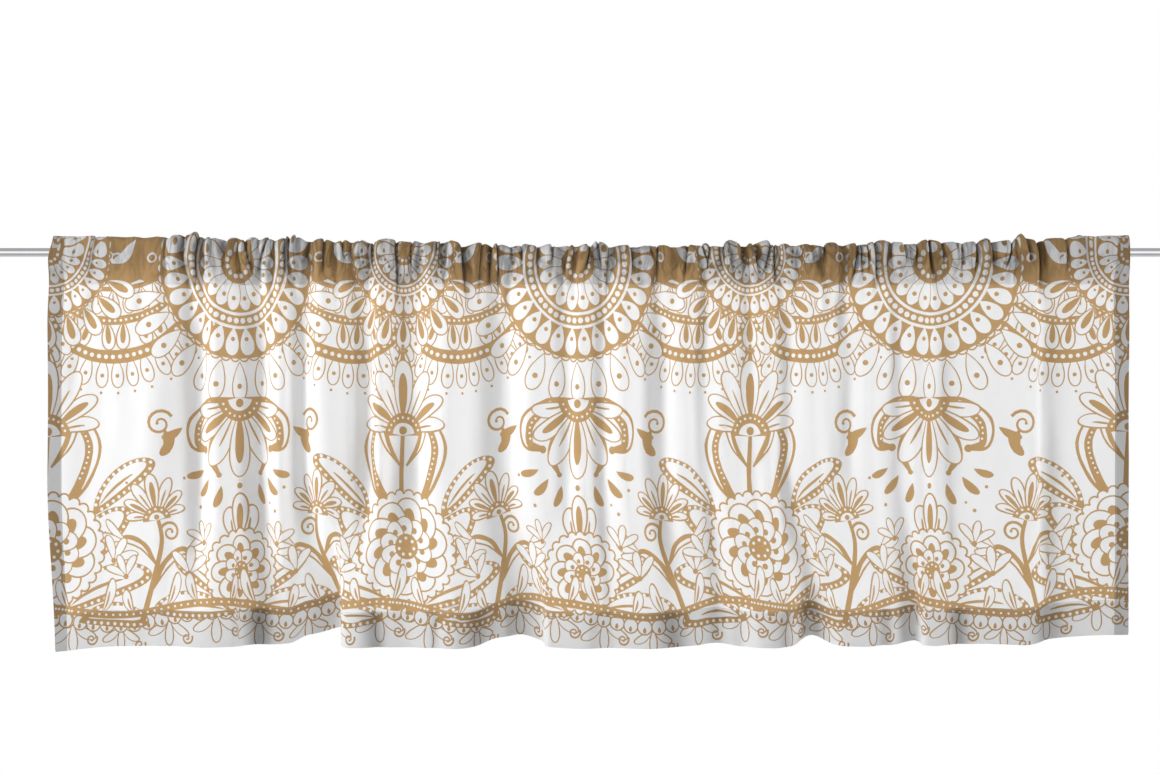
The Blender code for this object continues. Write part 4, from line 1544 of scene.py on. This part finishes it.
def make_cloth(surfaces):
    """One closed sheet: the printed face, the plain reverse and the rim that joins them."""
    face, face_triangles = printed_face()
    rim = outer_edges(face, face_triangles)
    reverse, reverse_triangles = plain_reverse([face[edge] for edge in rim])
    partner = partners(face, reverse, rim)
    flat = np.concatenate([face, reverse])
    across, down = flat.T
    _, _, out = directions(cloth_at, across, down)
    side = np.where(np.arange(len(flat)) < len(face), 1.0, -1.0)[:, None]
    points = cloth_at(across, down)
    hung = np.hstack([points, out])
    back = moved_back(face, face_triangles, reverse, reverse_triangles, hung)
    points += out * side * CLOTH_THICKNESS / 2
    points[len(face):] -= out[len(face):] * back[:, None]
    base = len(face)
    rims = [(a, b, base + partner[b], base + partner[a]) for a, b in rim.tolist()]
    faces = face_triangles[:, ::-1].tolist() + (reverse_triangles + base).tolist() + rims
    mesh = bpy.data.meshes.new("printed_cloth")
    mesh.from_pydata(points.tolist(), [], faces)
    for surface in surfaces:
        mesh.materials.append(surface)

    centres = face[face_triangles].mean(axis=1)
    ink = inked(centres, repeated(painted, -0.03, FLAT_WIDTH + 0.03))
    kinds = np.full(len(faces), 2, np.int32)
    kinds[: len(face_triangles)] = ink
    mesh.polygons.foreach_set("material_index", kinds)
    middles = [centres, reverse[reverse_triangles].mean(axis=1), face[rim].mean(axis=1)]
    # Painted shade in the creases and hollows of the folds, kept on the mesh for the material.
    painted_hollow_shades = mesh.attributes.new("painted_hollow_shade", "FLOAT", "POINT")
    painted_hollow_shades.data.foreach_set("value", painted_hollow_shade_at(across, down).astype(np.float32))
    layers = mesh.attributes.new("layers", "FLOAT", "FACE")
    layers.data.foreach_set("value", layers_and_painted_shade_at(np.concatenate(middles)).astype(np.float32))

    add_maps(mesh, flat, kinds)
    mesh.shade_smooth()
    mesh.validate()
    mesh.normals_split_custom_set_from_vertices((out * side).tolist())
    return linked("printed_cloth", mesh)


def cotton(name, colour, through_colour, patchy):
    """Plain-woven cotton: threads over and under, slubs, soft patches, some light through, and
    painted shade where the cloth is doubled, in its creases and hollows, and along the heading's
    crumpled lines.
    """
    made, start = new_surface(name)
    flat = start.node("ShaderNodeUVMap", {"uv_map": "flat"})
    across = start.node("ShaderNodeSeparateXYZ", {}, {"Vector": flat})
    down = across.also("Y")
    turn = math.pi / THREAD_PITCH
    threads = (across * turn).sine() * (down * turn).sine()
    ribs = ((across * (2 * turn)).sine() + (down * (2 * turn)).sine()) * 0.5
    stretch = {"Vector": flat, "Scale": (36.0, 1500.0, 1.0)}
    weft = start.node("ShaderNodeMapping", {}, stretch)
    stretch = {"Vector": flat, "Scale": (1500.0, 36.0, 1.0)}
    warp = start.node("ShaderNodeMapping", {}, stretch)
    slub_values = {"Scale": 1.0, "Detail": 2.0}
    weft_slubs = start.node("ShaderNodeTexNoise", {}, slub_values | {"Vector": weft})
    warp_slubs = start.node("ShaderNodeTexNoise", {}, slub_values | {"Vector": warp})
    slubs = weft_slubs + warp_slubs
    values = {"Vector": flat, "Scale": (1.0, 0.36, 1.0)}
    crumpled = start.node("ShaderNodeMapping", {}, values)
    values = {"Vector": crumpled, "Scale": 62.0, "Detail": 2.0, "Distortion": 0.8}
    crumples = start.node("ShaderNodeTexNoise", {}, values)
    values = {"Vector": crumpled, "Scale": 30.0, "Detail": 1.0, "Distortion": 0.4}
    lumps = start.node("ShaderNodeTexNoise", {}, values)
    beside_crease = start.maths("ABSOLUTE", crumples - 0.5)
    gathered = ((across.least(FLAT_WIDTH - across) - 0.10) * 12.0).least(1.0).most(0.50)
    rumpled = (1.0 - (down - 0.024) * 36.0).least(1.0).most(0.0) * gathered
    weave = (threads * 0.5 + ribs * 0.4 + slubs * 1.1) * 0.026 + crumples * 0.14
    height = weave + rumpled * (beside_crease * 4.2 + lumps * 6.5)
    values = {"Height": height, "Strength": 1.0, "Distance": 0.001}
    bump = start.node("ShaderNodeBump", {}, values)
    # Painted shade along the crumpled lines of the heading, where the bump has its valleys.
    painted_crease_lines = (1.0 - beside_crease * 10.0).most(0.0) * rumpled
    values = {"Vector": crumpled, "Scale": 46.0, "Detail": 3.0, "Roughness": 0.6}
    patches = start.node("ShaderNodeTexNoise", {}, values)
    layers = start.node("ShaderNodeAttribute", {"attribute_name": "layers"}, out="Fac")
    painted_hollow_shade = start.node("ShaderNodeAttribute", {"attribute_name": "painted_hollow_shade"}, out="Fac")
    doubled = (layers - 1).least(MOST_LAYERS)
    # Painted shade: darker where the cloth is doubled, in creases and hollows, and along the
    # heading's crumpled lines.
    shade = (1 - doubled * LAYER_SHADE) * (1 - painted_hollow_shade * PAINTED_HOLLOW_SHADE) * (1 - painted_crease_lines * CREASE_SHADE)
    tone = shade * (1.0 + (patches - 0.5) * patchy + (slubs - 1.0) * 0.05)
    scaled = start.node(
        "ShaderNodeVectorMath", {"operation": "SCALE"}, {"Vector": colour[:3], "Scale": tone}
    )
    values = {"Base Color": scaled, "Roughness": 0.9, "Normal": bump}
    values |= {"Specular IOR Level": 0.25, "Sheen Weight": 0.08, "Sheen Roughness": 0.5}
    front = start.node("ShaderNodeBsdfPrincipled", {}, values)
    through = start.node("ShaderNodeBsdfTranslucent", {}, {"Color": through_colour})
    passing = LIGHT_THROUGH - doubled.least(1.0) * (LIGHT_THROUGH - LIGHT_THROUGH_DOUBLED)
    values = {0: passing, 1: front, 2: through}
    both = start.node("ShaderNodeMixShader", {}, values)
    start.node("ShaderNodeOutputMaterial", {}, {"Surface": both})
    return made


white_cotton = cotton("white_cotton", WHITE, (0.93, 0.93, 0.93, 1.0), 0.05)
inked_cotton = cotton("inked_cotton", OCHRE, (0.68, 0.49, 0.26, 1.0), 0.10)
cotton_reverse = cotton("cotton_reverse", WHITE, (0.93, 0.93, 0.93, 1.0), 0.05)
cloth = make_cloth((white_cotton, inked_cotton, cotton_reverse))
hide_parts("valance_cloth")
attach(cloth, "root")


# Sewing of the hems
# White cotton thread in lockstitches: one row holds the pocket down, one the foot hem and
# one each side hem. The cloth puckers a little along them, and they show on both faces.
STITCH_LENGTH = 0.0024
STITCH_PITCH = 0.0031
THREAD_DIAMETER = 0.00032
SEWING_INSET = 0.0016


def seam_paths():
    """Places along each row of sewing, on the face of the cloth and on the turned layers."""
    inner = HEM_DROP - HEM_HEIGHT + SEWING_INSET
    step = 0.0008
    across = np.arange(0.002, FLAT_WIDTH - 0.002, step)
    down = np.arange(0.050, inner - 0.004, step)
    rows = [(across, np.full(len(across), POCKET_DROP - SEWING_INSET))]
    rows.append((across, np.full(len(across), POCKET_TOP + SEWING_INSET)))
    rows.append((across, np.full(len(across), inner)))
    rows.append((across, np.full(len(across), CUT_FOOT - SEWING_INSET)))
    for side in (SIDE_HEM - SEWING_INSET, FLAT_WIDTH - SIDE_HEM + SEWING_INSET):
        rows.append((np.full(len(down), side), down))
    for side in (-SIDE_HEM + SEWING_INSET, FLAT_WIDTH + SIDE_HEM - SEWING_INSET):
        rows.append((np.full(len(down), side), down))
    return rows


def seam_mesh():
    """The rows of sewing as lines that lie on the cloth's outer faces."""
    points, edges = [], []
    for across, down in seam_paths():
        _, _, out = directions(cloth_at, across, down)
        lifted = cloth_at(across, down) + out * (CLOTH_THICKNESS / 2 + THREAD_DIAMETER * 0.12)
        base = len(points)
        points += lifted.tolist()
        edges += [(base + i, base + i + 1) for i in range(len(across) - 1)]
    mesh = bpy.data.meshes.new("stitches")
    mesh.from_pydata(points, edges, [])
    return mesh


def stitch_tree(surface):
    """Short rounded threads laid end to end along the rows, each a little uneven."""
    floats = ("Stitch length", "Stitch pitch", "Thread diameter")
    sizes = dict.fromkeys(floats, "NodeSocketFloat") | {"Seed": "NodeSocketInt"}
    given = geometry_tree("row of stitches", sizes)
    rows = given["Geometry"]
    lines = rows.node("GeometryNodeMeshToCurve", {}, {"Mesh": rows})
    values = {"Curve": lines, "Length": given["Stitch pitch"]}
    spots = rows.node("GeometryNodeResampleCurve", {"mode": "LENGTH"}, values)
    thread = rows.node("GeometryNodeMeshUVSphere", {}, {"Segments": 6, "Rings": 4, "Radius": 0.5})
    heading = rows.node("GeometryNodeInputTangent")
    values = {"Vector": heading}
    turned = rows.node("FunctionNodeAlignRotationToVector", {"axis": "Z"}, values)
    values = {2: 0.86, 3: 1.08, "Seed": given["Seed"]}
    uneven = rows.node("FunctionNodeRandomValue", {"data_type": "FLOAT"}, values, out=1)
    thick = given["Thread diameter"]
    size = {"X": thick, "Y": thick, "Z": given["Stitch length"] * uneven}
    size = rows.node("ShaderNodeCombineXYZ", {}, size)
    values = {"Points": spots, "Instance": thread, "Rotation": turned, "Scale": size}
    stitches = rows.node("GeometryNodeInstanceOnPoints", {}, values)
    return finish_tree(stitches, surface)


def cotton_thread():
    """Twisted sewing thread: matt white, with the twist as fine slanting ridges, and a painted
    shade that makes the grooves between them darker.
    """
    made, start = new_surface("cotton_thread")
    place = start.node("ShaderNodeTexCoord", out="Object")
    values = {"Vector": place, "Scale": 1400.0, "Distortion": 1.5, "Detail": 1.0}
    twist = start.node("ShaderNodeTexWave", {"bands_direction": "DIAGONAL"}, values, out="Fac")
    values = {"Height": twist, "Strength": 0.4, "Distance": 0.00006}
    bump = start.node("ShaderNodeBump", {}, values)
    # Painted shade: the colour follows the twist's height, darker in the grooves and lighter on
    # the ridges.
    values = {"Factor": twist, 6: (0.80, 0.79, 0.77, 1.0), 7: (0.88, 0.875, 0.86, 1.0)}
    colour = start.node("ShaderNodeMix", {"data_type": "RGBA"}, values, out=2)
    values = {"Base Color": colour, "Roughness": 0.8, "Normal": bump}
    shader = start.node("ShaderNodeBsdfPrincipled", {}, values)
    start.node("ShaderNodeOutputMaterial", {}, {"Surface": shader})
    return made


stitch_sizes = {
    "Stitch length": STITCH_LENGTH,
    "Stitch pitch": STITCH_PITCH,
    "Thread diameter": THREAD_DIAMETER,
    "Seed": 5,
}
stitches = grow("hem_stitches", seam_mesh(), stitch_tree(cotton_thread()), stitch_sizes)
stitches.data.shade_smooth()
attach(stitches, "root")
FLAT_WIDTH + 2 * SIDE_HEM


# Studio
# A pale matt floor well below the valance, an even white room and large soft lights: one at
# each side, so that the folds shade each other, a weak one in front and one behind.
FLOOR_HEIGHT = -1.25
ROOM_LIGHT = 0.06
ROD_SEES_ROOM = 0.56
ROD_SEES_WINDOW = 0.85
ROD_SEES_FLOOR = 0.34

floor_mesh = bpy.data.meshes.new("studio_floor")
corners = [(-3.0, -4.0), (4.7, -4.0), (4.7, 1.6), (-3.0, 1.6)]
floor_mesh.from_pydata([(x, y, FLOOR_HEIGHT) for x, y in corners], [], [(0, 1, 2, 3)])
floor = linked("studio_floor", floor_mesh)
pale, start = new_surface("pale_floor")
place = start.node("ShaderNodeTexCoord", out="Object")
mottle = start.node("ShaderNodeTexNoise", {}, {"Vector": place, "Scale": 6.0, "Detail": 3.0})
tint = {"Factor": mottle, 6: (0.80, 0.80, 0.80, 1.0), 7: (0.84, 0.84, 0.84, 1.0)}
tint = start.node("ShaderNodeMix", {"data_type": "RGBA"}, tint, out=2)
matt = start.node("ShaderNodeBsdfPrincipled", {}, {"Base Color": tint, "Roughness": 0.9})
start.node("ShaderNodeOutputMaterial", {}, {"Surface": matt})
floor_mesh.materials.append(pale)
floor.visible_glossy = False

world = bpy.data.worlds.new("white room")
world.use_nodes = True
world.node_tree.nodes.clear()
start = Wired(world.node_tree)
white = (1.0, 1.0, 1.0, 1.0)
seen = start.node("ShaderNodeBackground", {}, {"Color": white, "Strength": 1.0})
lit = start.node("ShaderNodeBackground", {}, {"Color": white, "Strength": ROOM_LIGHT})
way = start.node("ShaderNodeTexCoord", out="Generated")
height = start.node("ShaderNodeSeparateXYZ", {}, {"Vector": way}, out="Z")
depth = height.also("Y")
level = height.maths("ABSOLUTE", height)
in_front = (depth * -4.0 + 0.5).most(0.0).least(1.0)
below = (height * -5.0 + 0.5).most(0.0).least(1.0)
window = (1 - ((level - 0.30) * 5.0).most(0.0).least(1.0)) * in_front
strength = ROD_SEES_ROOM + window * ROD_SEES_WINDOW + below * (1 - in_front) * ROD_SEES_FLOOR
mirror = start.node("ShaderNodeBackground", {}, {"Color": white, "Strength": strength})
straight = start.node("ShaderNodeLightPath", out="Is Camera Ray")
mirrored = start.node("ShaderNodeLightPath", out="Is Glossy Ray")
room = start.node("ShaderNodeMixShader", {}, {0: mirrored, 1: lit, 2: mirror})
room = start.node("ShaderNodeMixShader", {}, {0: straight, 1: room, 2: seen})
start.node("ShaderNodeOutputWorld", {}, {"Surface": room})
bpy.context.scene.world = world


def soft_light(name, place, target, size, power):
    """A large soft light that the camera doesn't see."""
    light = bpy.data.lights.new(name, "AREA")
    light.shape = "RECTANGLE"
    light.size, light.size_y = size
    light.energy = power
    holder = linked(name, light)
    holder.location = place
    aim = Vector(target) - Vector(place)
    holder.rotation_euler = aim.to_track_quat("-Z", "Y").to_euler()
    holder.visible_camera = False
    holder.visible_glossy = False


middle = (0.88, 0.0, -0.25)
soft_light("left_light", (-3.0, -1.5, 1.0), middle, (1.2, 1.4), 178)
soft_light("right_light", (4.8, -1.5, 0.9), middle, (1.2, 1.4), 132)
soft_light("front_light", (0.55, -1.3, 0.5), middle, (0.7, 0.7), 7)
soft_light("back_light", (0.8, 1.7, 0.2), middle, (2.2, 1.2), 34)
bpy.context.scene.view_settings.view_transform = "Standard"
